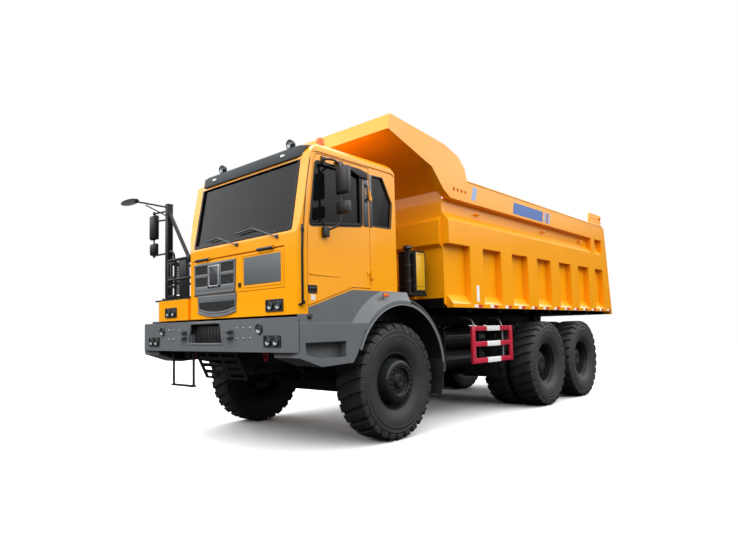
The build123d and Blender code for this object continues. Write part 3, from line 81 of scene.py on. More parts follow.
def sprayed_enamel(name, colour, thin_coat, roughness, lacquer, edge, painted_shade_below=None):
    """Enamel sprayed on steel: two close tones in soft clouds, orange peel, edges rounded by edge m."""
    finish, tree, shader = new_finish(name)
    place = add_node(tree, "ShaderNodeTexCoord").outputs["Object"]
    # the coat is thicker in places about 0.6 m across
    cloud = add_node(tree, "ShaderNodeTexNoise", {}, {"Vector": place, "Scale": 1.6, "Detail": 3.0})
    tint = add_node(tree, "ShaderNodeValToRGB", {}, {"Fac": cloud.outputs["Fac"]})
    for stop, position, tone in zip(tint.color_ramp.elements, (0.36, 0.64), (thin_coat, colour)):
        stop.position = position
        stop.color = linear(tone)
    shown = tint.outputs["Color"]
    if painted_shade_below:
        # black up to this height in metres: painted shade under the body
        height = add_node(tree, "ShaderNodeSeparateXYZ", {}, {"Vector": place})
        under = add_node(tree, "ShaderNodeMath", {"operation": "LESS_THAN"},
                         {0: height.outputs["Z"], 1: painted_shade_below})
        shown = add_node(tree, "ShaderNodeMixRGB", {}, {
            "Fac": under.outputs[0], "Color1": shown, "Color2": linear("#101112")}).outputs["Color"]
    # orange peel is about 3 mm across, drawn at 12 mm so that it shows
    peel = add_node(tree, "ShaderNodeTexNoise", {}, {"Vector": place, "Scale": 85.0, "Detail": 2.0})
    corner = add_node(tree, "ShaderNodeBevel", {"samples": 4}, {"Radius": edge})
    skin = add_node(tree, "ShaderNodeBump", {}, {
        "Strength": 0.12, "Distance": 0.0006, "Height": peel.outputs["Fac"], "Normal": corner.outputs["Normal"]})
    fill(tree, shader, {
        "Base Color": shown, "Roughness": roughness, "Coat Weight": lacquer, "Specular IOR Level": 0.15,
        "Coat Roughness": 0.05, "Normal": skin.outputs["Normal"]})
    return finish


def coat_nodes(finish, *names):
    """Gives solids of the frame their finish."""
    for name in names:
        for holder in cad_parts[name].material_slots:
            holder.material = finish


yellow_coat = ("#FFA90A", "#FDA508", 0.34, 0.5, 0.007)
truck_yellow = sprayed_enamel("orange_yellow_enamel", *yellow_coat)
coat_nodes(truck_yellow, "cab_shell", "door_left", "door_right", "front_flap", "hood_corner", "canopy", "tailgate")
# the body's underside is painted black as shade: its floor's beams, the sills' lower faces and the front wall's foot
for painted_shade_top, *names in ((1.7405, "body_floor"), (1.699, "body_side_left", "body_side_right"),
                         (1.84, "body_front_wall")):
    coat_nodes(sprayed_enamel(f"{names[0]}_enamel", *yellow_coat, painted_shade_top), *names)

# Anthracite steel: the bumper and both fenders.
# Heavier bent and welded plate in a satin dark grey enamel, duller than the yellow.
anthracite = sprayed_enamel("satin_anthracite_enamel", "#686B6E", "#636669", 0.42, 0.25, 0.009)
coat_nodes(anthracite, "front_bumper", "fender_left", "fender_right")

# Black running gear: rails, springs, tanks, stands, rods, step and the castings of the driveline.
# Hot-rolled steel and castings in one thick coat of chassis black, with a dull sheen.
chassis_black = sprayed_enamel("chassis_black_enamel", "#17181A", "#131415", 0.5, 0.1, 0.006)
coat_nodes(chassis_black, "frame_rails", "front_springs", "rear_suspension", "fuel_tank", "air_tanks", "walkway",
           "entry_step", "rear_lamp_bar", "air_cleaner", "hoist_barrel", "tie_rod", "bumper_guard")
casting_grey = sprayed_enamel("painted_casting", "#26282A", "#1F2123", 0.62, 0.0, 0.012)
coat_nodes(casting_grey, "engine", "driveline", "front_axle_beam", "rear_axles", "knuckle_left", "knuckle_right")

# Hoist stages: ground and hard-chromed tubes, bright with fine turning marks round the axis.
# They slide out of the painted barrel, so no coat of enamel would last on them.
bright_tube, tube_tree, tube_shader = new_finish("hard_chromed_tube")
tube_place = add_node(tube_tree, "ShaderNodeTexCoord").outputs["Object"]
tube_marks = add_node(tube_tree, "ShaderNodeTexWave", {"bands_direction": "Z"}, {
    "Vector": tube_place, "Scale": 60.0, "Distortion": 0.6})
tube_bump = add_node(tube_tree, "ShaderNodeBump", {}, {
    "Strength": 0.05, "Distance": 0.0003, "Height": tube_marks.outputs["Fac"]})
fill(tube_tree, tube_shader, {
    "Base Color": linear("#C9CBCD"), "Metallic": 1.0, "Roughness": 0.16, "Normal": tube_bump.outputs["Normal"]})
coat_nodes(bright_tube, "hoist_stage_1", "hoist_stage_2", "hoist_stage_3")

# Tyres: ten 16.00-25 rock tyres, moulded natural rubber on steel cord, mounted on their rims.
# A turned carcass carries two staggered rows of angled bar lugs that wrap over the shoulder.
# Rubber is matt near-black, greyer in soft dusty patches, with a fine grain in its surface.
AXLE_Y = sum(corner.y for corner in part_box("front_wheel_left")) / 2
AXLE_Z = sum(corner.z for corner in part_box("front_wheel_left")) * 500
TYRE_RADIUS = AXLE_Z
TYRE_WIDTH = 432
LUGS_A_ROW = 28
SIDES = ((1, "left"), (-1, "right"))


def spot(x, y, z):
    """Place in the frame, from millimetres to the left, behind the front axle and over the ground."""
    return Vector((x / 1000, AXLE_Y + y / 1000, z / 1000))


def node_box(name):
    """Middle and half size of a solid's box, in the same millimetres."""
    low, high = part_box(name)
    middle = (low + high) * 500
    return Vector((middle.x, middle.y - AXLE_Y * 1000, middle.z)), (high - low) * 500


def ring_at(mesh, middle, side, up, radius, sides):
    """Ring of vertices round a point, or one vertex where the radius is nought."""
    turns = [2 * pi * count / sides for count in range(sides if radius else 1)]
    return [mesh.verts.new(middle + radius * (side * cos(turn) + up * sin(turn))) for turn in turns]


def join_rings(mesh, rings):
    """Faces from each ring of vertices to the next, or to a pole."""
    for low, high in zip(rings, rings[1:]):
        sides = max(len(low), len(high))
        for count in range(sides):
            after = (count + 1) % sides
            corners = (low[count % len(low)], low[after % len(low)], high[after % len(high)],
                       high[count % len(high)])
            mesh.faces.new(list(dict.fromkeys(corners)))


def lathe(mesh, section, centre=(0, 0, 0), aim=(1, 0, 0), sides=48, closed=False):
    """Turns a section of (along, radius) points round an axis through the centre."""
    aim = Vector(aim).normalized()
    side = aim.orthogonal().normalized()
    up = aim.cross(side)
    rings = [ring_at(mesh, Vector(centre) + aim * along, side, up, radius, sides) for along, radius in section]
    join_rings(mesh, rings + rings[:1] if closed else rings)


def set_order(elements, place_of):
    """Puts a mesh's vertices or faces in the order of their places."""
    ranks = {element: rank for rank, element in enumerate(sorted(elements, key=place_of))}
    elements.sort(key=ranks.get)


def plain_mesh(name, mesh, place=None):
    """Mesh data of a finished mesh, with its faces turned outwards and its points set in place."""
    bmesh.ops.recalc_face_normals(mesh, faces=mesh.faces)
    # some bevelled corners come in another order each run, so the order is taken from their places
    set_order(mesh.verts, lambda vert: tuple(vert.co))
    set_order(mesh.faces, lambda face: tuple(face.calc_center_median()))
    if place:
        for vert in mesh.verts:
            vert.co = place(*vert.co)
    data = bpy.data.meshes.new(name)
    mesh.to_mesh(data)
    mesh.free()
    return data


def new_object(name, data):
    """Object of some data, linked to the scene."""
    holder = bpy.data.objects.new(name, data)
    bpy.context.scene.collection.objects.link(holder)
    return holder


def placed(name, mesh, finish, crease=32):
    """Object of a mesh in millimetres: set in the frame, smoothed and coated."""
    data = plain_mesh(name, mesh, spot)
    data.shade_smooth()
    data.set_sharp_from_angle(angle=radians(crease))
    data.materials.append(finish)
    return new_object(name, data)


def dress(name, mesh, body, finish, crease=32, stands_for=None):
    """Makes a piece, sets it on its body, and lets it stand for a solid if one is named."""
    piece = placed(name, mesh, finish, crease)
    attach(piece, body)
    if stands_for:
        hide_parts(stands_for)
    return piece


def start_pattern(name, **sizes):
    """New node tree that copies a piece, and its named inputs: Piece, Count, its sizes and Finish."""
    tree = bpy.data.node_groups.new(name, "GeometryNodeTree")
    for label, kind in {"Piece": "Object", "Count": "Int", **sizes, "Finish": "Material"}.items():
        tree.interface.new_socket(name=label, in_out="INPUT", socket_type=f"NodeSocket{kind}")
    tree.interface.new_socket(name="Geometry", in_out="OUTPUT", socket_type="NodeSocketGeometry")
    return tree, add_node(tree, "NodeGroupInput").outputs


def end_pattern(tree, given, inputs):
    """Sets the piece on the points, makes the copies real and coats them."""
    source = add_node(tree, "GeometryNodeObjectInfo", {}, {"Object": given["Piece"]})
    copies = add_node(tree, "GeometryNodeInstanceOnPoints", {}, {"Instance": source.outputs["Geometry"], **inputs})
    real = add_node(tree, "GeometryNodeRealizeInstances", {}, {"Geometry": copies.outputs["Instances"]})
    coated = add_node(tree, "GeometryNodeSetMaterial", {}, {
        "Geometry": real.outputs["Geometry"], "Material": given["Finish"]})
    add_node(tree, "NodeGroupOutput", {}, {"Geometry": coated.outputs["Geometry"]})


def copies_of(single, tree, **values):
    """Plain mesh of the copies that a node tree makes of a small mesh."""
    original = new_object("original", plain_mesh("original", single))
    holder = new_object("copies", bpy.data.meshes.new("copies"))
    modifier = holder.modifiers.new("copies", "NODES")
    modifier.node_group = tree
    values["Piece"] = original
    for socket in tree.interface.items_tree:
        if socket.in_out == "INPUT":
            modifier[socket.identifier] = values[socket.name]
    bpy.context.view_layer.update()
    finished = bpy.context.evaluated_depsgraph_get()
    data = bpy.data.meshes.new_from_object(holder.evaluated_get(finished), depsgraph=finished)
    bpy.data.objects.remove(holder)
    bpy.data.objects.remove(original)
    return data


rubber, rubber_tree, rubber_shader = new_finish("moulded_rubber")
rubber_place = add_node(rubber_tree, "ShaderNodeTexCoord").outputs["Object"]
dust = add_node(rubber_tree, "ShaderNodeTexNoise", {}, {
    "Vector": rubber_place, "Scale": 9.0, "Detail": 6.0, "Roughness": 0.6})
dusty = add_node(rubber_tree, "ShaderNodeValToRGB", {}, {"Fac": dust.outputs["Fac"]})
for stop, position, tone in zip(dusty.color_ramp.elements, (0.3, 0.75), ("#1C1D1E", "#2A2B2C")):
    stop.position = position
    stop.color = linear(tone)
grain = add_node(rubber_tree, "ShaderNodeTexNoise", {}, {"Vector": rubber_place, "Scale": 260.0, "Detail": 3.0})
rubber_edge = add_node(rubber_tree, "ShaderNodeBevel", {"samples": 4}, {"Radius": 0.006})
rubber_skin = add_node(rubber_tree, "ShaderNodeBump", {}, {
    "Strength": 0.35, "Distance": 0.001, "Height": grain.outputs["Fac"], "Normal": rubber_edge.outputs["Normal"]})
fill(rubber_tree, rubber_shader, {
    "Base Color": dusty.outputs["Color"], "Roughness": 0.62, "Specular IOR Level": 0.4,
    "Normal": rubber_skin.outputs["Normal"]})

# pieces in a ring round the axle's direction, the first turned by Turn steps
ring_of, given = start_pattern("pieces_in_a_ring", Turn="Float")
points = add_node(ring_of, "GeometryNodePoints", {}, {"Count": given["Count"]})
number = add_node(ring_of, "GeometryNodeInputIndex")
share = add_node(ring_of, "ShaderNodeMath", {"operation": "DIVIDE"}, {0: number.outputs["Index"], 1: given["Count"]})
shifted = add_node(ring_of, "ShaderNodeMath", {"operation": "ADD"}, {0: share.outputs[0], 1: given["Turn"]})
turned = add_node(ring_of, "ShaderNodeMath", {"operation": "MULTIPLY"}, {0: shifted.outputs[0], 1: 2 * pi})
spin = add_node(ring_of, "ShaderNodeCombineXYZ", {}, {"X": turned.outputs[0]})
end_pattern(ring_of, given, {"Points": points.outputs[0], "Rotation": spin.outputs[0]})

# one side of the carcass from the bead to the tread's middle: (across, under the tread's crown)
wall = ((141, 395), (150, 392), (160, 374), (172, 350), (190, 322), (203, 285), (211, 240), (214, 196), (214, 176),
        (218, 172), (218, 160), (213, 156), (211, 118), (215, 114), (215, 104), (209, 98), (200, 62), (186, 38),
        (120, 34), (0, 32))
carcass = [(across, TYRE_RADIUS - depth) for across, depth in wall]
carcass += [(-across, radius) for across, radius in reversed(carcass[:-1])]

# a lug runs from the middle over the shoulder: (across, shift along the tread, half width, top, foot)
lug_stations = ((-16, -34, 44, 746, 700), (58, -20, 48, 746, 700), (120, 2, 52, 745, 700), (176, 26, 55, 741, 696),
                (203, 32, 54, 726, 684), (213, 34, 50, 690, 664), (212, 34, 46, 662, 650))
lug = bmesh.new()
for hand in (1, -1):
    # the other hand's row is staggered by half a lug
    stagger = (hand - 1) * pi * TYRE_RADIUS / LUGS_A_ROW / 2
    bands = []
    for across, shift, half, top, foot in lug_stations:
        inward = 40 if across > 200 else 0
        ring = []
        for along, height in ((-half - 7, foot), (-half, top), (half, top), (half + 7, foot)):
            sunk = inward if height == foot else 0
            turn = (along + shift * hand + stagger) / TYRE_RADIUS
            ring.append(lug.verts.new((hand * (across - sunk), height * sin(turn), height * cos(turn))))
        bands.append(ring)
    for low, high in zip(bands, bands[1:]):
        for count in range(3):
            lug.faces.new((low[count], low[count + 1], high[count + 1], high[count]))
    for end in (bands[0], bands[-1]):
        lug.faces.new(end)
tread = copies_of(lug, ring_of, Count=LUGS_A_ROW, Turn=0.0, Finish=rubber)


def mounted_tyre(mesh, x, y, turn):
    """Adds one tyre at its wheel's place, turned so that the lugs of a pair don't line up."""
    start = len(mesh.verts)
    lathe(mesh, carcass, sides=112)
    mesh.from_mesh(tread)
    mesh.verts.ensure_lookup_table()
    spun = Matrix.Translation((x, y, AXLE_Z)) @ Matrix.Rotation(turn, 4, "X")
    for vert in mesh.verts[start:]:
        vert.co = spun @ vert.co


for _, word in SIDES:
    mesh = bmesh.new()
    mounted_tyre(mesh, node_box(f"front_tyre_{word}")[0].x, 0, 0.05)
    dress(f"tyre_front_{word}", mesh, f"front_wheel_{word}", rubber, 40, f"front_tyre_{word}")
    for number in (1, 2):
        mesh = bmesh.new()
        middle, half = node_box(f"rear_tyres_{number}_{word}")
        apart = half.x - TYRE_WIDTH / 2
        mounted_tyre(mesh, middle.x - apart, middle.y, 0.02 + 0.03 * number)
        mounted_tyre(mesh, middle.x + apart, middle.y, 0.11 - 0.02 * number)
        dress(f"tyres_rear_{number}_{word}", mesh, f"rear_wheels_{number}_{word}", rubber, 40,
              f"rear_tyres_{number}_{word}")

# Wheels: rims rolled from steel with a lock ring, welded to a pressed disc, on cast hubs.
# They hang on a ring of studs and hex nuts. Everything is sprayed in a dark grey-green primer black.
rim_black = sprayed_enamel("rim_enamel", "#232626", "#1C1F1F", 0.4, 0.2, 0.004)


def hex_nut(mesh, radius, height, place=(0, 0, 0), aim=(1, 0, 0), stud=0.0):
    """Hex nut on its washer with the stud's end standing out of it."""
    lathe(mesh, ((0, 0), (0, radius * 1.25), (height * 0.18, radius * 1.25), (height * 0.2, 0)), place, aim, 16)
    lathe(mesh, ((height * 0.15, 0), (height * 0.15, radius * 0.97), (height * 0.25, radius), (height * 0.9, radius),
                 (height, radius * 0.88), (height, 0)), place, aim, 6)
    if stud:
        lathe(mesh, ((height, 0), (height, radius * 0.5), (height + stud, radius * 0.5), (height + stud + 2, 0)),
              place, aim, 8)


def ring_of_nuts(count, across, out, radius, height, stud):
    """Mesh of nuts spaced round a wheel's axis, across mm out along it."""
    single = bmesh.new()
    hex_nut(single, radius, height, (across, 0, out), (1, 0, 0), stud)
    return copies_of(single, ring_of, Count=count, Turn=0.01, Finish=rim_black)


def hang_wheel(mesh, side, x, y, name, body, solid):
    """Sets a wheel modelled for the left on its axle, mirrored on the right."""
    to_side = Matrix.Translation((x, y, AXLE_Z)) @ Matrix.Diagonal((side, 1, 1, 1))
    bmesh.ops.transform(mesh, matrix=to_side, verts=mesh.verts)
    dress(name, mesh, body, rim_black, stands_for=solid)


# sections of (across from the tyre's middle, radius)
front_rim = ((-152, 368), (-158, 362), (-150, 352), (-128, 344), (-60, 326), (96, 326), (128, 336), (136, 344),
             (146, 350), (158, 360), (156, 370), (146, 374), (138, 362), (132, 352), (60, 350), (-60, 350), (-138, 356))
front_centre = ((-155, 64), (-155, 226), (-148, 232), (26, 238), (30, 330), (56, 330), (58, 312), (66, 300),
                (78, 296), (150, 286), (206, 273), (228, 264), (238, 252), (242, 240), (242, 178), (236, 170),
                (206, 168), (200, 160), (200, 96), (206, 88), (226, 86), (234, 78), (236, 40), (228, 34), (228, 0))
front_nuts = (ring_of_nuts(20, 241, 209, 14, 20, 10), ring_of_nuts(12, 199, 130, 10, 13, 0))
for side, word in SIDES:
    mesh = bmesh.new()
    lathe(mesh, front_rim, sides=80, closed=True)
    lathe(mesh, front_centre, sides=80)
    # hand holes in the cone, each a dark cup with a rolled rim, and the tyre's valve
    for turn in (0.35, 1.4, 2.45, 3.5, 4.55, 5.6):
        out = Vector((0.1, -sin(turn), cos(turn)))
        cup = Vector((112, -sin(turn) * 290, cos(turn) * 290))
        lathe(mesh, ((-6, 26), (4, 28), (6, 24), (3, 20), (-12, 18), (-14, 0)), cup, out, 20)
    lathe(mesh, ((0, 0), (0, 7), (40, 7), (44, 5), (52, 5), (52, 0)), (96, 0, 318), (0.8, 0, 0.35), 10)
    for nuts in front_nuts:
        mesh.from_mesh(nuts)
    hang_wheel(mesh, side, node_box(f"front_tyre_{word}")[0].x, 0, f"wheel_front_{word}", f"front_wheel_{word}",
               f"front_wheel_{word}")

# the pair of rear rims is one deep barrel with the hub set back inside it; its section is from the pair's middle
rear_barrel = ((-395, 360), (-401, 366), (-392, 372), (-380, 356), (-110, 352), (-106, 330), (106, 330), (110, 352),
               (378, 356), (384, 370), (396, 376), (404, 368), (400, 352), (390, 346), (374, 344), (370, 336),
               (352, 334), (346, 324), (320, 318), (96, 312), (94, 206), (268, 200), (292, 194), (298, 184),
               (298, 152), (304, 148), (316, 144), (322, 132), (322, 60), (314, 54), (314, 0))
rear_inside = ((-395, 360), (-386, 350), (-360, 330), (60, 306), (58, 244), (-366, 236), (-372, 228), (-372, 64))
rear_nuts = (ring_of_nuts(16, 93, 264, 14, 20, 10), ring_of_nuts(12, 297, 168, 8, 11, 0))
for side, word in SIDES:
    for number in (1, 2):
        mesh = bmesh.new()
        for section in (rear_barrel, rear_inside):
            lathe(mesh, section, sides=80)
        for nuts in rear_nuts:
            mesh.from_mesh(nuts)
        middle, _ = node_box(f"rear_tyres_{number}_{word}")
        hang_wheel(mesh, side, middle.x, middle.y, f"wheel_rear_{number}_{word}", f"rear_wheels_{number}_{word}",
                   f"rear_wheel_{number}_{word}")

# Window glass: the windscreen, door, quarter and rear panes, of dark tinted safety glass.
# Each has a fired black border round its edge, under a thin moulded rubber seal.
CAB_FRONT = -1650
# (side, word, the doors' outer skin)
DOORS = ((1, "left", 1600), (-1, "right", -700))
tinted_glass, glass_tree, glass_shader = new_finish("tinted_safety_glass")
fill(glass_tree, glass_shader, {
    "Base Color": linear("#101214"), "Roughness": 0.04, "IOR": 1.52, "Alpha": 0.93, "Specular IOR Level": 0.1})
coat_nodes(tinted_glass, "cab_glass", "door_glass_left", "door_glass_right")
fired_border, border_tree, border_shader = new_finish("fired_black_border")
fill(border_tree, border_shader, {"Base Color": linear("#0E0F11"), "Roughness": 0.05, "Specular IOR Level": 0.1})


def plain_finish(name, colour, roughness, metallic=0.0, edge=0.003):
    """One-colour finish with slightly rounded edges and a trace of unevenness in its shine."""
    finish, tree, shader = new_finish(name)
    place = add_node(tree, "ShaderNodeTexCoord").outputs["Object"]
    smear = add_node(tree, "ShaderNodeTexNoise", {}, {"Vector": place, "Scale": 14.0, "Detail": 4.0})
    gloss = add_node(tree, "ShaderNodeMapRange", {}, {
        "Value": smear.outputs["Fac"], "To Min": roughness * 0.85, "To Max": roughness * 1.15})
    corner = add_node(tree, "ShaderNodeBevel", {"samples": 4}, {"Radius": edge})
    fill(tree, shader, {
        "Base Color": linear(colour), "Metallic": metallic, "Roughness": gloss.outputs["Result"],
        "Normal": corner.outputs["Normal"]})
    return finish


seal_rubber = plain_finish("black_seal_rubber", "#131314", 0.6)
black_plastic = plain_finish("moulded_black_plastic", "#1A1B1D", 0.48)


def sheet_piece(mesh, outline, push, rounding=0.0):
    """Flat piece of an outline pushed out by a vector, with its edges rounded."""
    near = [mesh.verts.new(point) for point in outline]
    far = [mesh.verts.new(Vector(point) + Vector(push)) for point in outline]
    faces = [mesh.faces.new(near), mesh.faces.new(far)]
    for count, corner in enumerate(near):
        after = (count + 1) % len(near)
        faces.append(mesh.faces.new((corner, near[after], far[after], far[count])))
    if rounding:
        edges = list(dict.fromkeys(edge for face in faces for edge in face.edges))
        bmesh.ops.bevel(mesh, geom=edges, offset=rounding, segments=2, profile=0.5, affect="EDGES")


def brick(mesh, low, high, rounding=0.0):
    """Box between two corners, with its edges rounded."""
    (x0, y0, z0), (x1, y1, z1) = low, high
    sheet_piece(mesh, ((x0, y0, z0), (x1, y0, z0), (x1, y1, z0), (x0, y1, z0)), (0, 0, z1 - z0), rounding)


def frame_ring(mesh, outline, width, push):
    """Strip round a convex outline, width wide inwards and pushed out, with softened edges."""
    middle = sum((Vector(point) for point in outline), Vector()) / len(outline)
    rings = []
    for inset, height in ((0, 0), (0, 0.75), (0.18, 1), (0.82, 1), (1, 0.75), (1, 0)):
        ring = []
        for count, point in enumerate(outline):
            corner = Vector(point)
            before = (Vector(outline[count - 1]) - corner).normalized()
            after = (Vector(outline[(count + 1) % len(outline)]) - corner).normalized()
            inward = (before + after).normalized()
            reach = width / max(0.35, before.cross(inward).length)
            if inward.dot(middle - corner) < 0:
                inward = -inward
            ring.append(mesh.verts.new(corner + inward * reach * inset + Vector(push) * height))
        rings.append(ring)
    join_rings(mesh, rings)


def soft_corner(before, corner, after, reach, limit):
    """Short lines round a corner, from reach mm before it, or from a share of its sides."""
    start, end = (corner + (other - corner).normalized() * min(reach, (other - corner).length * limit)
                  for other in (before, after))
    return [start.lerp(corner, step / 4).lerp(corner.lerp(end, step / 4), step / 4) for step in range(5)]


def rounded(outline, radius):
    """Outline with each corner cut by an arc of short lines."""
    corners = [Vector(point) for point in outline]
    return [point for before, corner, after in zip(corners[-1:] + corners, corners, corners[1:] + corners[:1])
            for point in soft_corner(before, corner, after, radius, 0.45)]


def cab_face(x, z, out=0.0):
    """Point on the cab's front: upright to z 2500, then leaning back to the visor."""
    lean = max(0.0, z - 2500) / 920 * 162
    return (x, CAB_FRONT + lean - out, z)


screen = [cab_face(x, z, -3) for x, z in ((-556, 2526), (1452, 2526), (1452, 3390), (-556, 3390))]
mesh = bmesh.new()
frame_ring(mesh, rounded(screen, 60), 42, (0, -6, 1))
dress("windscreen_border", mesh, "root", fired_border)
# the strip of the roof's skin that laps over the windscreen's head
mesh = bmesh.new()
head = [cab_face(x, z, -4) for x, z in ((-570, 3352), (1466, 3352), (1466, 3400), (-570, 3400))]
sheet_piece(mesh, head, (0, -8, 1), 2)
dress("windscreen_head", mesh, "root", truck_yellow)
mesh = bmesh.new()
# the rear window's seal, then the quarter windows'
for low, high in (((-160, 2640), (1060, 2664)), ((-160, 3206), (1060, 3230)), ((-160, 2664), (-138, 3206)),
                  ((1038, 2664), (1060, 3206))):
    brick(mesh, (low[0], -4, low[1]), (high[0], 3, high[1]), 2)
quarter = ((-463, 2682), (-463, 3338), (-246, 3344), (-62, 3032), (-98, 2692))
for side, _, skin_x in DOORS:
    frame_ring(mesh, rounded([(skin_x - side * 3, y, z) for y, z in quarter], 26), 20, (side * 7, 0, 0))
dress("window_seals", mesh, "root", seal_rubber)
mesh = bmesh.new()
for side, _, skin_x in DOORS:
    strip = sorted((skin_x, skin_x + side * 3))
    brick(mesh, (strip[0], -510, 2668), (strip[1], -466, 3340), 1)
dress("post_strip_cab", mesh, "root", anthracite)
door_window = ((-642, 2654), (-1530, 2562), (-1428, 3332), (-642, 3332))
deflector = ((-1130, 3352), (-860, 3330), (-700, 3264), (-548, 3258), (-548, 3340), (-700, 3362), (-1100, 3370))
for side, word, skin_x in DOORS:
    glass_x = skin_x - side * 3
    border = rounded([(glass_x, y, z) for y, z in door_window], 60)
    mesh = bmesh.new()
    frame_ring(mesh, border, 46, (side * 5, 0, 0))
    dress(f"door_glass_border_{word}", mesh, f"door_{word}", fired_border)
    mesh = bmesh.new()
    frame_ring(mesh, border, 9, (side * 9, 0, 0))
    # channel bar behind the drop glass, and the rain deflector over it
    brick(mesh, (glass_x - 26, -676, 2668), (glass_x + 4, -654, 3306), 2)
    sheet_piece(mesh, [(skin_x, y, z) for y, z in deflector], (side * 24, 0, 0), 6)
    dress(f"door_seal_{word}", mesh, f"door_{word}", seal_rubber)

# Door fittings: the painted B-post strip with its grab handle, the recessed lock handle and a blank label.
# Moulded black plastic, screwed or clipped to the door's skin, beside a crease pressed into the skin.


def upright(low, high, radius):
    """Outline of an upright rectangle between two opposite corners, its corners rounded."""
    (x0, y0, z0), (x1, y1, z1) = low, high
    return rounded([(x0, y0, z0), (x1, y1, z0), (x1, y1, z1), (x0, y0, z1)], radius)


def tube(mesh, path, radius, sides=10, bend=0.0):
    """Round tube along a path with bent corners and flat ends."""
    points = [Vector(point) for point in path]
    if bend:
        corners = zip(points, points[1:], points[2:])
        points = [points[0], *(point for three in corners for point in soft_corner(*three, bend, 0.48)), points[-1]]
    ways = [(after - before).normalized() for before, after in zip(points, points[1:])]
    ways = [ways[0]] + [(one + two).normalized() for one, two in zip(ways, ways[1:])] + [ways[-1]]
    side = ways[0].orthogonal().normalized()
    rings = []
    for point, way in zip(points, ways):
        side = (side - way * side.dot(way)).normalized()
        rings.append(ring_at(mesh, point, side, way.cross(side), radius, sides))
    join_rings(mesh, rings)
    for end in (rings[0], rings[-1]):
        mesh.faces.new(end)


# middle of each lock handle over the ground
lock_heights = {"left": 1868, "right": 2060}
for side, word, skin_x in DOORS:
    mesh = bmesh.new()
    brick(mesh, (skin_x, -632, 2668), (skin_x + side * 3, -530, 3304), 1)
    dress(f"post_strip_{word}", mesh, f"door_{word}", anthracite)
    mesh = bmesh.new()
    grip = skin_x + side * 34
    tube(mesh, ((skin_x, -580, 2996), (grip, -580, 3006), (grip, -580, 3174), (skin_x, -580, 3184)), 11, 10, 22)
    for z in (2992, 3188):
        brick(mesh, (skin_x + side * 2, -604, z - 22), (skin_x + side * 12, -556, z + 22), 3)
    # lock handle: a tray with a hinged paddle and a lock barrel, inside the skin's recess
    bottom, lip = skin_x - side * 24, skin_x + side * 2
    middle = lock_heights[word]
    frame_ring(mesh, upright((skin_x, -1546, middle - 47), (skin_x, -1420, middle + 47), 12), 10, (side * 4, 0, 0))
    brick(mesh, (bottom, -1538, middle - 40), (bottom + side * 8, -1428, middle + 40), 2)
    brick(mesh, (lip - side * 14, -1536, middle - 2), (lip, -1430, middle + 30), 4)
    lathe(mesh, ((0, 11), (5, 11), (5, 5), (7, 5), (7, 0)), (bottom + side * 8, -1482, middle - 22), (side, 0, 0), 16)
    dress(f"door_handles_{word}", mesh, f"door_{word}", black_plastic)
    if word == "left":
        mesh = bmesh.new()
        crease = ((-1536, 2062), (-1500, 2050), (-1060, 2030), (-1060, 2022), (-1536, 2026))
        sheet_piece(mesh, [(skin_x, y, z) for y, z in crease], (5, 0, 0), 2)
        dress("door_crease", mesh, "door_left", truck_yellow)
label_white = plain_finish("bare_white_label", "#E4E4E0", 0.5)
mesh = bmesh.new()
brick(mesh, (1600, -1514, 1748), (1601.5, -1452, 1806))
dress("blank_label", mesh, "door_left", label_white)

# Service flap and front face: two capped barrel hinges, a catch, a blank panel and two wipers.
# The caps and the catch are black plastic, the wiper arms bent black steel strip with rubber blades.
hinge_y, hinge_z = -1664, 2372
for body, spans in (("root", ((-472, -420), (-213, -161), (849, 898), (1095, 1144))),
                    ("front_flap", ((-418, -215), (900, 1093)))):
    mesh = bmesh.new()
    for x0, x1 in spans:
        long = x1 - x0
        lathe(mesh, ((0, 12.2), (0, 16), (3, 18), (long - 3, 18), (long, 16), (long, 12.2)),
              (x0, hinge_y, hinge_z), (1, 0, 0), 16, True)
    if body == "front_flap":
        brick(mesh, (466, -1664, 1962), (512, CAB_FRONT, 2016), 3)
        brick(mesh, (480, -1672, 1982), (498, -1662, 2008), 3)
    dress(f"hinge_caps_{body}", mesh, body, black_plastic)
panel_grey = plain_finish("blank_panel_film", "#61686A", 0.55)
mesh = bmesh.new()
sheet_piece(mesh, upright((570, CAB_FRONT, 1975), (1258, CAB_FRONT, 2305), 16), (0, -3, 0), 0.8)
dress("blank_panel", mesh, "front_flap", panel_grey)
mesh = bmesh.new()
frame_ring(mesh, upright((540, CAB_FRONT, 1945), (1294, CAB_FRONT, 2334), 22), 9, (0, -5, 0))
dress("flap_swage", mesh, "front_flap", truck_yellow)
wiper_steel = plain_finish("satin_wiper_steel", "#5E6164", 0.4, 0.5)
mesh = bmesh.new()
for pivot, elbow, tip in (((435, 2488), (9, 2622), (-241, 2601)), ((1200, 2488), (738, 2646), (397, 2624))):
    lathe(mesh, ((0, 26), (14, 24), (18, 14), (34, 14), (36, 0)), cab_face(*pivot), (0, -1, 0), 20)
    tube(mesh, (cab_face(*pivot, 28), cab_face(pivot[0] - 70, pivot[1] + 22, 30), cab_face(*elbow, 22)), 7, 8)
    tube(mesh, (cab_face(pivot[0] - 30, pivot[1] + 60, 2), cab_face(pivot[0] - 30, pivot[1] + 60, 12)), 9, 8)
    # the blade carrier and its squeegee
    tube(mesh, (cab_face(*elbow, 22), cab_face(*tip, 18)), 6, 8)
    low, high = cab_face(*elbow, 15), cab_face(*tip, 11)
    sheet_piece(mesh, (low, high, (high[0], high[1], high[2] - 9), (low[0], low[1], low[2] - 9)), (0, 8, 0))
dress("wipers", mesh, "root", wiper_steel)

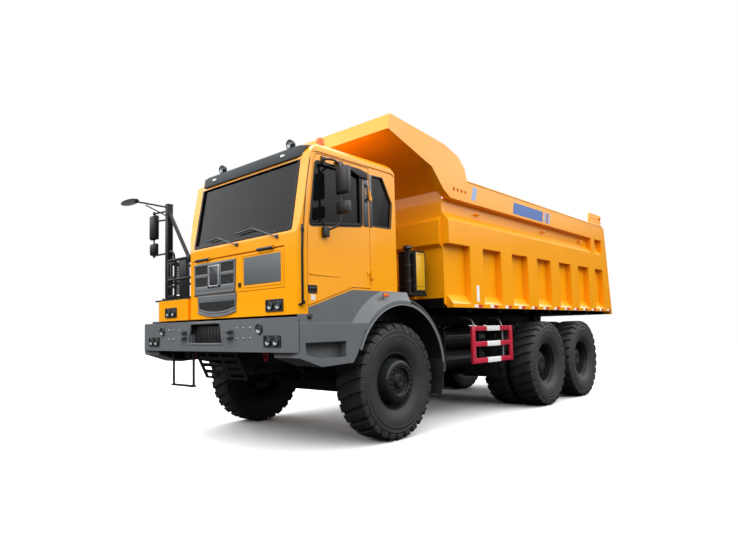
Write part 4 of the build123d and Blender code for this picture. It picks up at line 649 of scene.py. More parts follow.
# Upper and lower grille: moulded grey surrounds over woven black mesh, a bare plate in a bright rim,
# and a pale lip under the lower one. The surrounds are clipped to the flap and to the front panel.
mesh_black = plain_finish("woven_mesh_black", "#141516", 0.55)
bright_trim = plain_finish("bright_chrome_trim", "#D2D4D6", 0.3, 1.0)
plate_grey = plain_finish("bare_plate_grey", "#3A3C3F", 0.35, 0.2)
lip_grey = plain_finish("pale_grey_lip", "#8C8F94", 0.35, 0.3)

# pieces in a row from Start, one every Step
row_of, given = start_pattern("pieces_in_a_row", Start="Vector", Step="Vector")
line = add_node(row_of, "GeometryNodeMeshLine", {}, {
    "Count": given["Count"], "Start Location": given["Start"], "Offset": given["Step"]})
end_pattern(row_of, given, {"Points": line.outputs["Mesh"]})


def add_row(mesh, single, count, start, step, finish):
    """Adds a row of copies of a small mesh to a bigger one."""
    mesh.from_mesh(copies_of(single, row_of, Count=count, Start=Vector(start), Step=Vector(step), Finish=finish))


def woven(mesh, x, z, y, pitch, wire, finish):
    """Flat mesh of round wires between x and z limits on the plane y."""
    for span, path, first, way in (
            (z, ((x[0], 0, 0), (x[1], 0, 0)), (0, y, z[0] + pitch / 2), (0, 0, pitch)),
            (x, ((0, wire, z[0]), (0, wire, z[1])), (x[0] + pitch / 2, y, 0), (pitch, 0, 0))):
        single = bmesh.new()
        tube(single, path, wire, 6)
        add_row(mesh, single, int((span[1] - span[0]) / pitch), first, way, finish)


mesh = bmesh.new()
upper = [(x, CAB_FRONT, z) for x, z in ((-525, 2322), (412, 2322), (398, 1909), (-512, 1909))]
frame_ring(mesh, rounded(upper, 14), 34, (0, -14, 0))
# cross of bars between the four windows, with the plate's bed in its middle, over a wide foot
for low, high in (((-500, -1660, 2134), (-190, CAB_FRONT, 2180)), ((90, -1660, 2134), (384, CAB_FRONT, 2180)),
                  ((-204, -1661, 1990), (96, CAB_FRONT, 2300)), ((-494, -1661, 1922), (384, CAB_FRONT, 2022))):
    brick(mesh, low, high, 3)
dress("grille_surround", mesh, "front_flap", anthracite, stands_for="grille_upper")
mesh = bmesh.new()
brick(mesh, (-500, -1651.5, 1960), (388, CAB_FRONT, 2300))
# rubber strip along the flap's lower edge
brick(mesh, (-512, -1662, 1904.5), (398, -1649, 1911), 1)
for x in ((-494, -200), (92, 384)):
    for z in ((2176, 2296), (2018, 2138)):
        woven(mesh, x, z, -1654, 17, 3.0, mesh_black)
dress("grille_mesh", mesh, "front_flap", mesh_black)
mesh = bmesh.new()
frame_ring(mesh, upright((-168, -1661, 2002), (62, -1661, 2276), 12), 18, (0, -12, 0))
dress("plate_rim", mesh, "front_flap", bright_trim)
mesh = bmesh.new()
sheet_piece(mesh, upright((-156, -1661, 2014), (50, -1661, 2264), 8), (0, -6, 0), 2)
dress("bare_plate", mesh, "front_flap", plate_grey)
lower = ((-445, 1896), (425, 1896), (408, 1704), (210, 1664), (-10, 1652), (-230, 1664), (-428, 1704))
mesh = bmesh.new()
frame_ring(mesh, rounded([(x, CAB_FRONT, z) for x, z in lower], 10), 30, (0, -12, 0))
brick(mesh, (-425, -1660, 1806), (404, CAB_FRONT, 1876), 3)
dress("lower_surround", mesh, "root", anthracite, stands_for="grille_lower")
mesh = bmesh.new()
for x in range(-402, 392, 20):
    foot = 1674 + (abs(x + 10) / 400) ** 2 * 34
    tube(mesh, ((x, -1653, foot), (x, -1653, 1812)), 3.2, 6)
for z in range(1700, 1812, 18):
    tube(mesh, ((-410, -1655, z), (392, -1655, z)), 3.2, 6)
brick(mesh, (-410, -1651.5, 1680), (392, CAB_FRONT, 1812))
dress("lower_mesh", mesh, "root", mesh_black)
mesh = bmesh.new()
lip = ((-434, 1702), (-230, 1661), (-10, 1649), (210, 1661), (414, 1702), (408, 1668), (210, 1630), (-10, 1618),
       (-230, 1630), (-428, 1668))
sheet_piece(mesh, [(x, CAB_FRONT, z) for x, z in lip], (0, -15, 0), 4)
dress("lower_lip", mesh, "root", lip_grey)

# Front lamps: twin round units in black frames in the panel and in the bumper, and a round one between.
# Pressed bright reflectors behind clear lenses, in moulded plastic frames screwed to the steel.
BUMPER_FACE = -1814
lamp_glass, lens_tree, lens_shader = new_finish("clear_lamp_glass")
fill(lens_tree, lens_shader, {"Base Color": linear("#3C4246"), "Roughness": 0.05, "Alpha": 0.3, "IOR": 1.5})
amber = plain_finish("amber_lens", "#EE6A0E", 0.5)
bowl_metal = plain_finish("vacuum_coated_reflector", "#8B9094", 0.22, 1.0)


def side_brick(mesh, side, low, high, rounding=0.0):
    """Box given for the left side, mirrored where the side is -1."""
    near, far = sorted((side * low[0], side * high[0]))
    brick(mesh, (near, *low[1:]), (far, *high[1:]), rounding)


def lamp_unit(shells, mirrors, lenses, centre, radius, aim=(0, -1, 0)):
    """Round lamp: a bright bowl with a bulb shield in a dark rim, under a shallow domed lens."""
    lathe(shells, ((-10, radius * 1.2), (4, radius * 1.2), (10, radius * 1.08), (6, radius), (-10, radius)),
          centre, aim, 28, True)
    lathe(mirrors, ((2, radius), (-4, radius * 0.86), (-9, radius * 0.5), (-10, radius * 0.2), (-6, radius * 0.22),
                    (2, radius * 0.2), (4, 0)), centre, aim, 28)
    lathe(lenses, ((3, radius), (6, radius * 0.7), (8, radius * 0.35), (9, 0)), centre, aim, 28)


shells, mirrors, lenses = bmesh.new(), bmesh.new(), bmesh.new()
for side in (1, -1):
    for (x0, z0), (x1, z1), y, radius in (((988, 1640), (1296, 1780), CAB_FRONT, 44),
                                          ((1156, 1250), (1446, 1378), BUMPER_FACE, 45)):
        frame_ring(shells, upright((side * x0, y, z0), (side * x1, y, z1), 16), 14, (0, -14, 0))
        side_brick(shells, side, (x0 + 10, y - 4, z0 + 8), (x1 - 10, y, z1 - 8), 1)
        for share in (0.27, 0.73):
            x = side * (x0 + share * (x1 - x0))
            lamp_unit(shells, mirrors, lenses, (x, y - 14, (z0 + z1) / 2), radius)
    lamp_unit(shells, mirrors, lenses, (side * 1074, -1824, 1452), 50)
dress("lamp_frames", shells, "root", black_plastic, stands_for="front_lamps")
dress("lamp_bowls", mirrors, "root", bowl_metal)
dress("lamp_lenses", lenses, "root", lamp_glass)

# Sun visor: one folded sheet across the windscreen's head, drawn back at both ends, with two marker lamps.
# Steel in a darker, flatter anthracite enamel, bolted to the roof through its rear flange.
visor_grey = sprayed_enamel("flat_visor_enamel", "#484C4F", "#44484B", 0.6, 0.0, 0.006)
mesh = bmesh.new()
visor = ((-1522, 3384), (-1526, 3400), (-1506, 3512), (-1486, 3528), (-1318, 3566), (-1308, 3548), (-1476, 3500),
         (-1502, 3388))
# (x, how far it is drawn back, how much of its section is left)
ends = ((-552, 21, 0.8), (-516, 7.8, 0.95), (-430, 0, 1), (1370, 0, 1), (1448, 7.8, 0.95), (1484, 21, 0.8))
stations = [[mesh.verts.new((x, -1420 + (y + 1420) * share + back, 3460 + (z - 3460) * share)) for y, z in visor]
            for x, back, share in ends]
join_rings(mesh, stations)
for end in (stations[0], stations[-1]):
    mesh.faces.new(end)
for x in (-300, 100, 500, 900, 1300):
    hex_nut(mesh, 11, 8, (x, -1400, 3545), (0, -0.18, 1))
dress("visor", mesh, "root", visor_grey, stands_for="sun_visor")
mesh = bmesh.new()
for x in (-244, 1163):
    brick(mesh, (x - 34, -1530, 3434), (x + 34, -1510, 3464), 4)
dress("visor_markers", mesh, "root", label_white)

# Roof lamps: two work lamps on stalks over the visor and an amber beacon on the roof.
# Cast black housings with clear lenses, and a moulded amber dome on a black base.
shells, mirrors, lenses = bmesh.new(), bmesh.new(), bmesh.new()
for x in (-126, 1246):
    lathe(shells, ((0, 0), (0, 26), (16, 48), (44, 58), (66, 58)), (x, -1424, 3576), (0, -1, 0), 28)
    lamp_unit(shells, mirrors, lenses, (x, -1488, 3576), 48)
    # forked foot on the visor
    tube(shells, ((x - 64, -1456, 3578), (x - 64, -1456, 3522), (x + 64, -1456, 3522), (x + 64, -1456, 3578)), 6, 8, 14)
dress("work_lamps", shells, "root", black_plastic, stands_for="roof_lamps")
dress("work_lamp_bowls", mirrors, "root", bowl_metal)
dress("work_lamp_lenses", lenses, "root", lamp_glass)
mesh = bmesh.new()
lathe(mesh, ((0, 62), (14, 64), (26, 60), (26, 0)), (1390, -1130, 3549), (0, 0, 1), 28)
dress("beacon_base", mesh, "root", black_plastic)
mesh = bmesh.new()
dome = [(26, 52), (30, 55), (34, 52), (58, 51), (60, 53), (64, 51), (86, 50), (88, 52), (92, 50), (132, 46), (150, 32),
        (158, 14), (160, 0)]
lathe(mesh, dome, (1390, -1130, 3549), (0, 0, 1), 28)
dress("beacon_dome", mesh, "root", amber)

# Left mirrors: a main and a wide-angle head on one upright tube, braced to the door's top and foot.
# Black steel tubes and moulded shells, with silvered glass that faces the rear.
silvered = plain_finish("silvered_mirror_glass", "#D5D9DB", 0.04, 1.0)


def mirror_head(shells, glasses, low, high):
    """Moulded shell with a rim round its rear face, and the mirror glass in it."""
    (x0, y0, z0), (x1, y1, z1) = low, high
    side = [(x0, y0 + 24, z0), (x0 + 18, y0, z0 + 14), (x1 - 18, y0, z0 + 14), (x1, y0 + 24, z0)]
    brick(shells, (x0, y0 + 14, z0), (x1, y1, z1), 12)
    sheet_piece(shells, [(x, y, z0 + 16) for x, y, z in side], (0, 0, z1 - z0 - 32), 8)
    frame_ring(shells, upright((x0 + 8, y1, z0 + 8), (x1 - 8, y1, z1 - 8), 16), 8, (0, 5, 0))
    sheet_piece(glasses, upright((x0 + 15, y1, z0 + 15), (x1 - 15, y1, z1 - 15), 12), (0, 2.5, 0))


shells, glasses = bmesh.new(), bmesh.new()
for low, high in ((2950, 3262), (2722, 2862)):
    mirror_head(shells, glasses, (1692, -1206, low), (1880, -1134, high))
    for z in (low + 40, high - 40):
        brick(shells, (1730, -1190, z - 12), (1766, -1150, z + 12), 4)
tube(shells, ((1603, -1296, 2530), (1690, -1240, 2560), (1748, -1170, 2610), (1748, -1170, 3300), (1700, -1230, 3350),
              (1606, -1300, 3362)), 13, 10, 60)
tube(shells, ((1748, -1170, 3262), (1690, -1090, 3344), (1606, -1010, 3362)), 12, 10, 40)
for low, high in (((1600, -1332, 3334), (1618, -1268, 3390)), ((1600, -1042, 3334), (1618, -978, 3390)),
                  ((1600, -1338, 2462), (1652, -1256, 2574))):
    brick(shells, low, high, 6)
dress("mirror_arms", shells, "door_left", black_plastic, stands_for="mirrors_left")
dress("mirror_glasses", glasses, "door_left", silvered)

# Right mirror mast: a square post on the deck with a raking brace, arms, two mirror heads and a round one.
# Welded square and round tube in black enamel, the heads moulded plastic, clamped to an upright rod.
mesh, glasses = bmesh.new(), bmesh.new()
deck_top = 1907
post = Vector((-1378, -1556, 0))
brick(mesh, (post.x - 42, post.y - 42, deck_top), (post.x + 42, post.y + 42, 3308), 7)
brick(mesh, (post.x - 72, post.y - 72, deck_top), (post.x + 72, post.y + 72, deck_top + 12), 3)
for x in (-56, 56):
    for y in (-56, 56):
        hex_nut(mesh, 12, 10, (post.x + x, post.y + y, deck_top + 12), (0, 0, 1), 6)
brick(mesh, (post.x - 46, post.y - 46, 3300), (post.x + 46, post.y + 46, 3310), 3)
tube(mesh, ((post.x, post.y, 3204), (-742, -1604, 2448)), 27, 12)
brick(mesh, (-752, -1630, 2392), (-696, -1576, 2490), 5)
stem = (-1785, -1576)
for z, rise in ((3214, 20), (3090, 20), (2592, 0)):
    tube(mesh, ((post.x, post.y, z), (stem[0] + 90, stem[1], z + rise * 0.8), (*stem, z + rise)), 13, 10, 40)
    lathe(mesh, ((-16, 0), (-16, 20), (16, 20), (16, 0)), (*stem, z + rise), (0, 0, 1), 12)
tube(mesh, ((*stem, 2560), (*stem, 3262)), 12, 10)
mirror_head(mesh, glasses, (-1876, -1616, 2836), (-1700, -1544, 3204))
mirror_head(mesh, glasses, (-1872, -1612, 2600), (-1704, -1548, 2776))
# the round mirror faces down over the bumper and back to the driver
face = Vector((0.21, 0.19, -0.96)).normalized()
round_place = Vector((-1750, -1969, 3349))
tube(mesh, ((post.x, post.y, 3262), (-1500, -1700, 3300), round_place - face * 22), 12, 10, 90)
tube(mesh, ((post.x, post.y, 3120), (-1600, -1800, 3300)), 9, 8)
lathe(mesh, ((-24, 0), (-22, 40), (-12, 104), (-2, 126), (8, 130), (11, 127), (8, 122)), round_place, face, 40)
lathe(glasses, ((8, 122), (14, 100), (19, 60), (22, 20), (22.5, 0)), round_place, face, 40)
dress("mast", mesh, "root", chassis_black, stands_for="mirror_mast")
dress("mast_glasses", glasses, "root", silvered)

# Walkway: a flat deck over the right front corner with a hand rail round its edge, joined to the mast.
# Round tube posts and two rails, welded to the deck, with raised grip strips under foot.
mesh = bmesh.new()
brick(mesh, (-1640, -1630, 1885), (-704, -20, deck_top), 4)
single = bmesh.new()
brick(single, (-1560, -5, 0), (-740, 5, 5), 2)
add_row(mesh, single, 30, (0, -1420, deck_top), (0, 46, 0), chassis_black)
rail_x, rail_y, rail_top = -1600, -1600, 2462
for y in (-1440, -1000, -560, -64):
    tube(mesh, ((rail_x, y, deck_top), (rail_x, y, rail_top)), 20, 10)
for x in (-1120, -806):
    tube(mesh, ((x, rail_y, deck_top), (x, rail_y, rail_top - 10)), 20, 10)
for z in (rail_top - 280, rail_top):
    tube(mesh, ((rail_x, -64, z), (rail_x, -1440, z), (-1410, -1539, z)), 20, 12, 60)
    tube(mesh, ((-1348, -1580, z), (-1308, rail_y, z), (-732, rail_y, z)), 20, 12, 30)
# bent grip from the mast down to the top rail
tube(mesh, ((-1336, -1570, 2600), (-1220, -1596, 2600), (-1150, rail_y, 2540), (-1150, rail_y, rail_top)), 15, 10, 60)
dress("walkway_deck", mesh, "root", chassis_black, stands_for="walkway")

# Walkway infill: a slotted plate, a woven screen and a plain plate between the front posts, and kick plates.
# Flame-cut and folded strip, bolted to the posts and sprayed black like them.
mesh = bmesh.new()
woven(mesh, (-1104, -1000), (1965, 2440), rail_y, 24, 5.0, chassis_black)
brick(mesh, (-1000, -1606, 1920), (-736, -1598, 2446), 3)
for x in (-1336, -1256, -1150):
    brick(mesh, (x, -1606, 1910), (x + 34, -1596, 2446), 3)
for z in (1920, 2060, 2190, 2400):
    brick(mesh, (-1336, -1605, z), (-1120, -1597, z + 44), 3)
brick(mesh, (rail_x - 6, -1430, deck_top), (rail_x + 2, -70, 1990), 2)
dress("walkway_screen", mesh, "root", chassis_black)

# Cab trim: the long grab rail up the corner post, a rubber strip, and drip mouldings over the doors.
# Black sleeved steel tube on two clamps; the mouldings are folded strip, sprayed with the cab.
mesh = bmesh.new()
rail = ((1560, -1650, 1700), (1622, -1656, 1704), (1622, -1652, 2278), (1622, -1640, 2530), (1592, -1620, 2566))
tube(mesh, rail, 14, 12, 34)
# rubber strip up the corner post, where the door's skin meets it
tube(mesh, ((1604, -1612, 2560), (1606, -1566, 3003), (1604, -1500, 3340)), 5, 8)
for y, z in ((-1600, 1722), (-1602, 2510)):
    tube(mesh, ((1590, y, z), (1622, y - 40, z)), 11, 10)
    lathe(mesh, ((-16, 14), (-16, 19), (16, 19), (16, 14)), (1622, y - 44, z), (0, 0.12, 1), 14, True)
dress("grab_rail", mesh, "root", chassis_black)
mesh = bmesh.new()
for side, _, skin_x in DOORS:
    end_x, drip_x = skin_x - side * 2, skin_x + side * 2
    tube(mesh, ((end_x, -1452, 3424), (drip_x, -1400, 3436), (drip_x, -60, 3430), (end_x, -20, 3400)), 8, 8, 30)
dress("drip_mouldings", mesh, "root", truck_yellow)

# Bumper and fender fittings: rows of bolts, the opening's rim and slats, joints, stops and side markers.
# Zinc-plated bolts, black rubber, and amber moulded lenses in thin black frames.
FENDER_FACE = 1680
zinc = plain_finish("zinc_plated_bolt", "#B4B6B4", 0.35, 0.9)
mesh = bmesh.new()
for side in (1, -1):
    for z in (1345, 1464):
        single = bmesh.new()
        hex_nut(single, 11, 8, aim=(0, -1, 0))
        add_row(mesh, single, 3, (side * 653, BUMPER_FACE, z), (side * 124, 0, 0), zinc)
dress("bumper_bolts", mesh, "root", zinc)
mesh = bmesh.new()
opening = [(-350, 1528), (300, 1528), (340, 1292), (-400, 1292)]
frame_ring(mesh, rounded([(x, -1811, z) for x, z in opening], 22), -26, (0, -8, 0))
dress("opening_rim", mesh, "root", anthracite)
mesh = bmesh.new()
brick(mesh, (-396, -1740, 1296), (336, -1734, 1524), 2)
single = bmesh.new()
brick(single, (-7, -1748, 1300), (7, -1738, 1520), 3)
add_row(mesh, single, 9, (-312, 0, 0), (70, 0, 0), black_plastic)
dress("opening_back", mesh, "root", black_plastic)
mesh = bmesh.new()
for side in (1, -1):
    # dark joint between the bumper's end and the fender
    side_brick(mesh, side, (FENDER_FACE - 2, -1768, 1196), (FENDER_FACE + 1.5, -1758, 1556))
    lathe(mesh, ((0, 0), (0, 30), (8, 32), (22, 26), (24, 0)), (side * 1600, -1541, 1572), (side, 0, 0), 20)
    rim_x = side * (FENDER_FACE + 1)
    frame_ring(mesh, upright((rim_x, -392, 1806), (rim_x, -282, 1862), 8), 8, (side * 6, 0, 0))
dress("fender_stops", mesh, "root", black_plastic)
mesh = bmesh.new()
for side in (1, -1):
    side_brick(mesh, side, (FENDER_FACE, -385, 1813), (FENDER_FACE + 10, -289, 1855), 4)
dress("side_markers", mesh, "root", amber)

# Wheel arches: a black sheet in each hoop with a wall towards the frame, painted shade, and a lip band along its edge.
# The band is bent strip in the fender's enamel; a pale bead on its edge is a painted highlight.
ARCH_Z = 850       # height of the arch's centre, over the axle
SHADE_WALL_X = 1196     # inner edge of the black sheet that stands for the shade in the arch


def arch_line(x, radius, turns):
    """Points round the front wheels' arch."""
    return [(x, radius * cos(turn), ARCH_Z + radius * sin(turn)) for turn in turns]


def arch_strip(mesh, x, radii, turns):
    """Curved strip round the arch, between two x places and two radii."""
    lines = [[mesh.verts.new(point) for point in arch_line(place, radius, turns)]
             for radius, place in ((radii[0], x[0]), (radii[0], x[1]), (radii[1], x[1]), (radii[1], x[0]))]
    for line, other in zip(lines, lines[1:] + lines[:1]):
        for count in range(len(turns) - 1):
            mesh.faces.new((line[count], line[count + 1], other[count + 1], other[count]))
    for end in (0, -1):
        mesh.faces.new([line[end] for line in lines])


shade_sheets, bands, highlight_beads = bmesh.new(), bmesh.new(), bmesh.new()
for side in (1, -1):
    # a black sheet round the hoop and a wall towards the frame: painted shade inside the arch
    arch_strip(shade_sheets, (side * SHADE_WALL_X, side * 1640), (931, 940), [radians(turn) for turn in range(-22, 141, 6)])
    wall_turns = [radians(turn) for turn in range(46, 135, 4)]
    sheet_piece(shade_sheets, arch_line(side * SHADE_WALL_X, 936, wall_turns), (side * 8, 0, 0))
    lip_turns = [radians(turn) for turn in range(6, 159, 4)]
    arch_strip(bands, (side * (FENDER_FACE - 8), side * (FENDER_FACE + 6)), (866, 904), lip_turns)
    # pale bead along the lip's edge: a painted highlight
    tube(highlight_beads, arch_line(side * (FENDER_FACE + 4), 868, lip_turns), 5, 6)
dress("arch_liners", shade_sheets, "root", seal_rubber)
dress("arch_bands", bands, "root", anthracite)
dress("arch_beads", highlight_beads, "root", lip_grey)

# Mud flaps: reinforced rubber sheet, one behind each front wheel and one on a hanger before each rear pair.
# Each is bolted through a steel strip at its top.
mesh = bmesh.new()
for side in (1, -1):
    for (x0, x1), y, (z0, z1) in (((SHADE_WALL_X, 1640), 920, (560, 1060)), ((560, 1250), 3150, (540, 1262))):
        side_brick(mesh, side, (x0, y, z0), (x1, y + 14, z1), 4)
        side_brick(mesh, side, (x0, y + 14, z1 - 48), (x1, y + 20, z1 - 8), 2)
        single = bmesh.new()
        hex_nut(single, 13, 9, aim=(0, 1, 0))
        first_x = min(side * x0, side * x1) + 52
        add_row(mesh, single, 4, (first_x, y + 20, z1 - 28), ((x1 - x0 - 104) / 3, 0, 0), seal_rubber)
    side_brick(mesh, side, (466, 3142, 1258), (1250, 3172, 1296), 4)
dress("mud_flaps", mesh, "root", seal_rubber)

# Tow shackles under the bumper: a forged bow on its pin, one on each side.
# Drop-forged steel in the same red enamel as the side guards.
guard_red = sprayed_enamel("guard_red_enamel", "#CA2C44", "#C2283F", 0.35, 0.4, 0.005)
mesh = bmesh.new()
for side in (1, -1):
    tube(mesh, [(side * x, -1500, z) for x, z in ((752, 1196), (752, 1110), (784, 1064), (816, 1110), (816, 1196))],
         13, 10, 30)
    tube(mesh, ((side * 736, -1500, 1150), (side * 832, -1500, 1150)), 11, 10)
dress("tow_shackles", mesh, "root", guard_red)

# Side guards: three rails between two posts, each rail with a white reflective band round its middle third.
# Box section steel, mitred and welded, in red enamel, on black arms and bent grey stays from the frame.
band_white = plain_finish("white_reflective_band", "#F2F2EE", 0.45)
mesh, arms, stays, bands = bmesh.new(), bmesh.new(), bmesh.new(), bmesh.new()
for side in (1, -1):
    for z in (894, 1150, 1392):
        side_brick(mesh, side, (1564, 1884, z - 39), (1600, 3004, z + 39), 5)
        side_brick(bands, side, (1562.5, 2246, z - 40.5), (1601.5, 2664, z + 40.5), 1)
    for y in (1800, 2996):
        side_brick(mesh, side, (1562, y, 855), (1602, y + 92, 1433), 5)
    for y in (1851, 2978):
        side_brick(arms, side, (470, y - 45, 1382), (1566, y + 45, 1398), 3)
    for y in (1960, 2840):
        stay = ((1300, 1560), (1470, 1560), (1540, 1440), (1548, 900))
        tube(stays, [(side * x, y, z) for x, z in stay], 15, 10, 80)
dress("guard_rails", mesh, "root", guard_red, stands_for="side_guards")
dress("guard_arms", arms, "root", chassis_black)
dress("guard_stays", stays, "root", lip_grey)
dress("guard_bands", bands, "root", band_white)

# Air cleaner: a blank yellow plate in a black frame on the housing, two straps round it, and a rain cap.
# Painted sheet, black plastic and rubber; the cap's pipe is held by two clamps.
sign_yellow = plain_finish("blank_yellow_plate", "#E0AC12", 0.35)
mesh = bmesh.new()
brick(mesh, (1450, 622, 1950), (1454, 822, 2476), 2)
dress("blank_sign", mesh, "root", sign_yellow)
mesh = bmesh.new()
frame_ring(mesh, upright((1450, 606, 1934), (1450, 838, 2492), 12), 14, (8, 0, 0))
for z in (2440, 1990):
    brick(mesh, (1146, 586, z), (1454, 854, z + 16), 5)
lathe(mesh, ((0, 38), (0, 62), (10, 66), (44, 58), (52, 30), (54, 0)), (1412, 486, 2512), (0, 0, 1), 24)
for z in (2060, 2280):
    lathe(mesh, ((0, 38), (0, 43), (26, 43), (26, 38)), (1412, 486, z), (0, 0, 1), 24, True)
dress("air_cleaner_fittings", mesh, "root", black_plastic)

# Body markings: red and white reflective tapes along the sill and up the front post, and plain blue stripes.
# Cut from self-adhesive film about half a millimetre thick; the stripes carry no lettering.
tape_red = plain_finish("red_reflective_tape", "#C8202A", 0.4)
stripe_blue = plain_finish("blue_stripe_film", "#2B5FA8", 0.35)
stripe_pale = plain_finish("pale_blue_film", "#8FA9D2", 0.35)
BODY_FACE = 1753
RIB_PITCH = 475    # the tapes sit between the body's ribs
for name, slot, finish, shift in (("white_tapes", "lamp_glass", band_white, 0),
                                  ("red_tapes", "guard_red", tape_red, 118)):
    mesh = bmesh.new()
    for side in (1, -1):
        single = bmesh.new()
        side_brick(single, side, (BODY_FACE, 0, -21), (BODY_FACE + 1.2, 112, 21))
        add_row(mesh, single, 13, (0, 1640 + shift, 1727), (0, RIB_PITCH, 0), finish)
        if name == "white_tapes":
            side_brick(mesh, side, (BODY_FACE, 1718, 1790), (BODY_FACE + 1.2, 1796, 2036))
    dress(name, mesh, "bed", finish)
for name, finish, shapes in (
        ("blue_stripes", stripe_blue, (((2994, 3309), (4140, 3309), (4196, 3508), (3050, 3508)),
                                       ((4300, 3309), (4376, 3309), (4432, 3508), (4356, 3508)))),
        ("pale_stripes", stripe_pale, (((1664, 3331), (1790, 3331), (1850, 3539), (1724, 3539)),
                                       ((4196, 3309), (4268, 3309), (4324, 3508), (4252, 3508)),
                                       ((4408, 3309), (4462, 3309), (4518, 3508), (4464, 3508))))):
    mesh = bmesh.new()
    for side in (1, -1):
        for shape in shapes:
            sheet_piece(mesh, [(side * BODY_FACE, y, z) for y, z in shape], (side * 0.9, 0, 0))
    dress(name, mesh, "bed", finish)

# Body steelwork: a flange along the top rail, lashing eyes, and bolts and bosses on the gate's hinge plates.
# Folded plate and forgings welded to the body and sprayed with it.
mesh = bmesh.new()
for side in (1, -1):
    side_brick(mesh, side, (1640, 1563, 3584), (BODY_FACE + 6, 7290, 3606), 5)
    for y in (1947, 4320, 6100):
        tube(mesh, ((side * 1655, y - 44, 3150), (side * 1710, y - 40, 3160), (side * 1710, y + 40, 3160),
                    (side * 1655, y + 44, 3150)), 12, 10, 30)
    # bolted plate over the gate's pin
    out = side * 1722
    for y, z in ((6800, 3760), (6960, 3760), (7120, 3760), (7280, 3690)):
        hex_nut(mesh, 15, 10, (out, y, z), (side, 0, 0))
    boss = ((0, 58), (10, 58), (12, 54), (12, 30), (22, 30), (24, 26), (24, 0))
    lathe(mesh, boss, (out, 7240, 3800), (side, 0, 0), 24)
dress("body_fittings", mesh, "bed", truck_yellow)

# Rear lamps: red and amber ribbed lenses on the lamp bar, a pair on each side.
# Moulded lenses in their own colour, screwed to the bar's plates.
red_lens = plain_finish("red_lens", "#B01414", 0.18)
for name, finish, x in (("stop_lenses", red_lens, 840), ("turn_lenses", amber, 1010)):
    mesh = bmesh.new()
    for side in (1, -1):
        side_brick(mesh, side, (x + 8, 6620, 1080), (x + 112, 6626, 1130), 2)
        for z in (1090, 1105, 1120):
            side_brick(mesh, side, (x + 12, 6624, z - 4), (x + 108, 6629, z + 4), 2)
    dress(name, mesh, "root", finish)

# Seats: driver's and passenger's suspension seats with sewn cushions on black bases.
# Woven charcoal cloth over foam, piped round each panel, on a steel slide and a rubber bellows.
cloth, weave, cloth_shader = new_finish("woven_charcoal_cloth")
cloth_place = add_node(weave, "ShaderNodeTexCoord").outputs["Object"]
threads = add_node(weave, "ShaderNodeTexWave", {"bands_direction": "X"}, {"Vector": cloth_place, "Scale": 160.0})
picks = add_node(weave, "ShaderNodeTexWave", {"bands_direction": "Z"}, {"Vector": cloth_place, "Scale": 160.0})
cross = add_node(weave, "ShaderNodeMath", {"operation": "MAXIMUM"}, {
    0: threads.outputs["Fac"], 1: picks.outputs["Fac"]})
tint = add_node(weave, "ShaderNodeValToRGB", {}, {"Fac": cross.outputs[0]})
for stop, tone in zip(tint.color_ramp.elements, ("#26282B", "#3B3E43")):
    stop.color = linear(tone)
relief = add_node(weave, "ShaderNodeBump", {}, {"Strength": 0.4, "Distance": 0.0008, "Height": cross.outputs[0]})
fill(weave, cloth_shader, {"Roughness": 0.9, "Base Color": tint.outputs["Color"], "Normal": relief.outputs["Normal"]})


def cushion(mesh, centre, half, tilt, crown, bolster):
    """Sewn pad: a grid swollen in the middle of its panels, higher along both sides, then tilted."""
    steps = 20
    grid = {}
    lean = Matrix.Translation(centre) @ Matrix.Rotation(tilt, 4, "X")
    for level in (1, -1):
        for row in range(steps + 1):
            for column in range(steps + 1):
                across_share, along_share = 2 * column / steps - 1, 2 * row / steps - 1
                edge = (1 - abs(across_share) ** 6) * (1 - abs(along_share) ** 6)
                height = half.z * edge ** 0.35
                out = abs(across_share)
                if level == 1:
                    # a piped seam sinks the pad between its middle and its bolsters
                    height += crown * edge * (1 - 0.35 * (abs(out - 0.62) < 0.03))
                    height += bolster * edge * max(0.0, out - 0.62) / 0.38 * (1 - out ** 8)
                point = Vector((across_share * half.x, along_share * half.y, level * height))
                rim = row in (0, steps) or column in (0, steps)
                key = (0 if rim else level, row, column)
                if key not in grid:
                    grid[key] = mesh.verts.new(lean @ point)
                grid[level, row, column] = grid[key]
        for row in range(steps):
            for column in range(steps):
                mesh.faces.new((grid[level, row, column], grid[level, row, column + 1],
                                grid[level, row + 1, column + 1], grid[level, row + 1, column]))


for word, x in (("passenger", 60), ("driver", 1010)):
    for part, centre, half, tilt, crown, bolster in (
            ("cushion", (x, -545, 2505), (250, 225, 55), radians(-3), 22, 26),
            ("back", (x, -225, 2790), (250, 285, 50), radians(76), 18, 34),
            ("headrest", (x, -150, 3105), (140, 70, 42), radians(80), 14, 0)):
        mesh = bmesh.new()
        cushion(mesh, centre, Vector(half), tilt, crown, bolster)
        piece = dress(f"{word}_{part}", mesh, "root", cloth, 60)
    mesh = bmesh.new()
    brick(mesh, (x - 235, -740, 2420), (x + 235, -330, 2462), 10)
    for rise in range(5):
        half = 150 - 16 * (rise % 2)
        brick(mesh, (x - half, -700 + 20 * (rise % 2), 2240 + rise * 36), (x + half, -390, 2280 + rise * 36), 8)
    brick(mesh, (x - 170, -660, 1985), (x + 170, -330, 2240), 14)
    brick(mesh, (x - 200, -690, 1961), (x + 200, -290, 1988), 5)
    for post in (-60, 60):
        tube(mesh, ((x + post, -165, 3040), (x + post, -152, 3090)), 8, 8)
    dress(f"{word}_seat_base", mesh, "root", black_plastic,
          stands_for="seats" if word == "driver" else None)

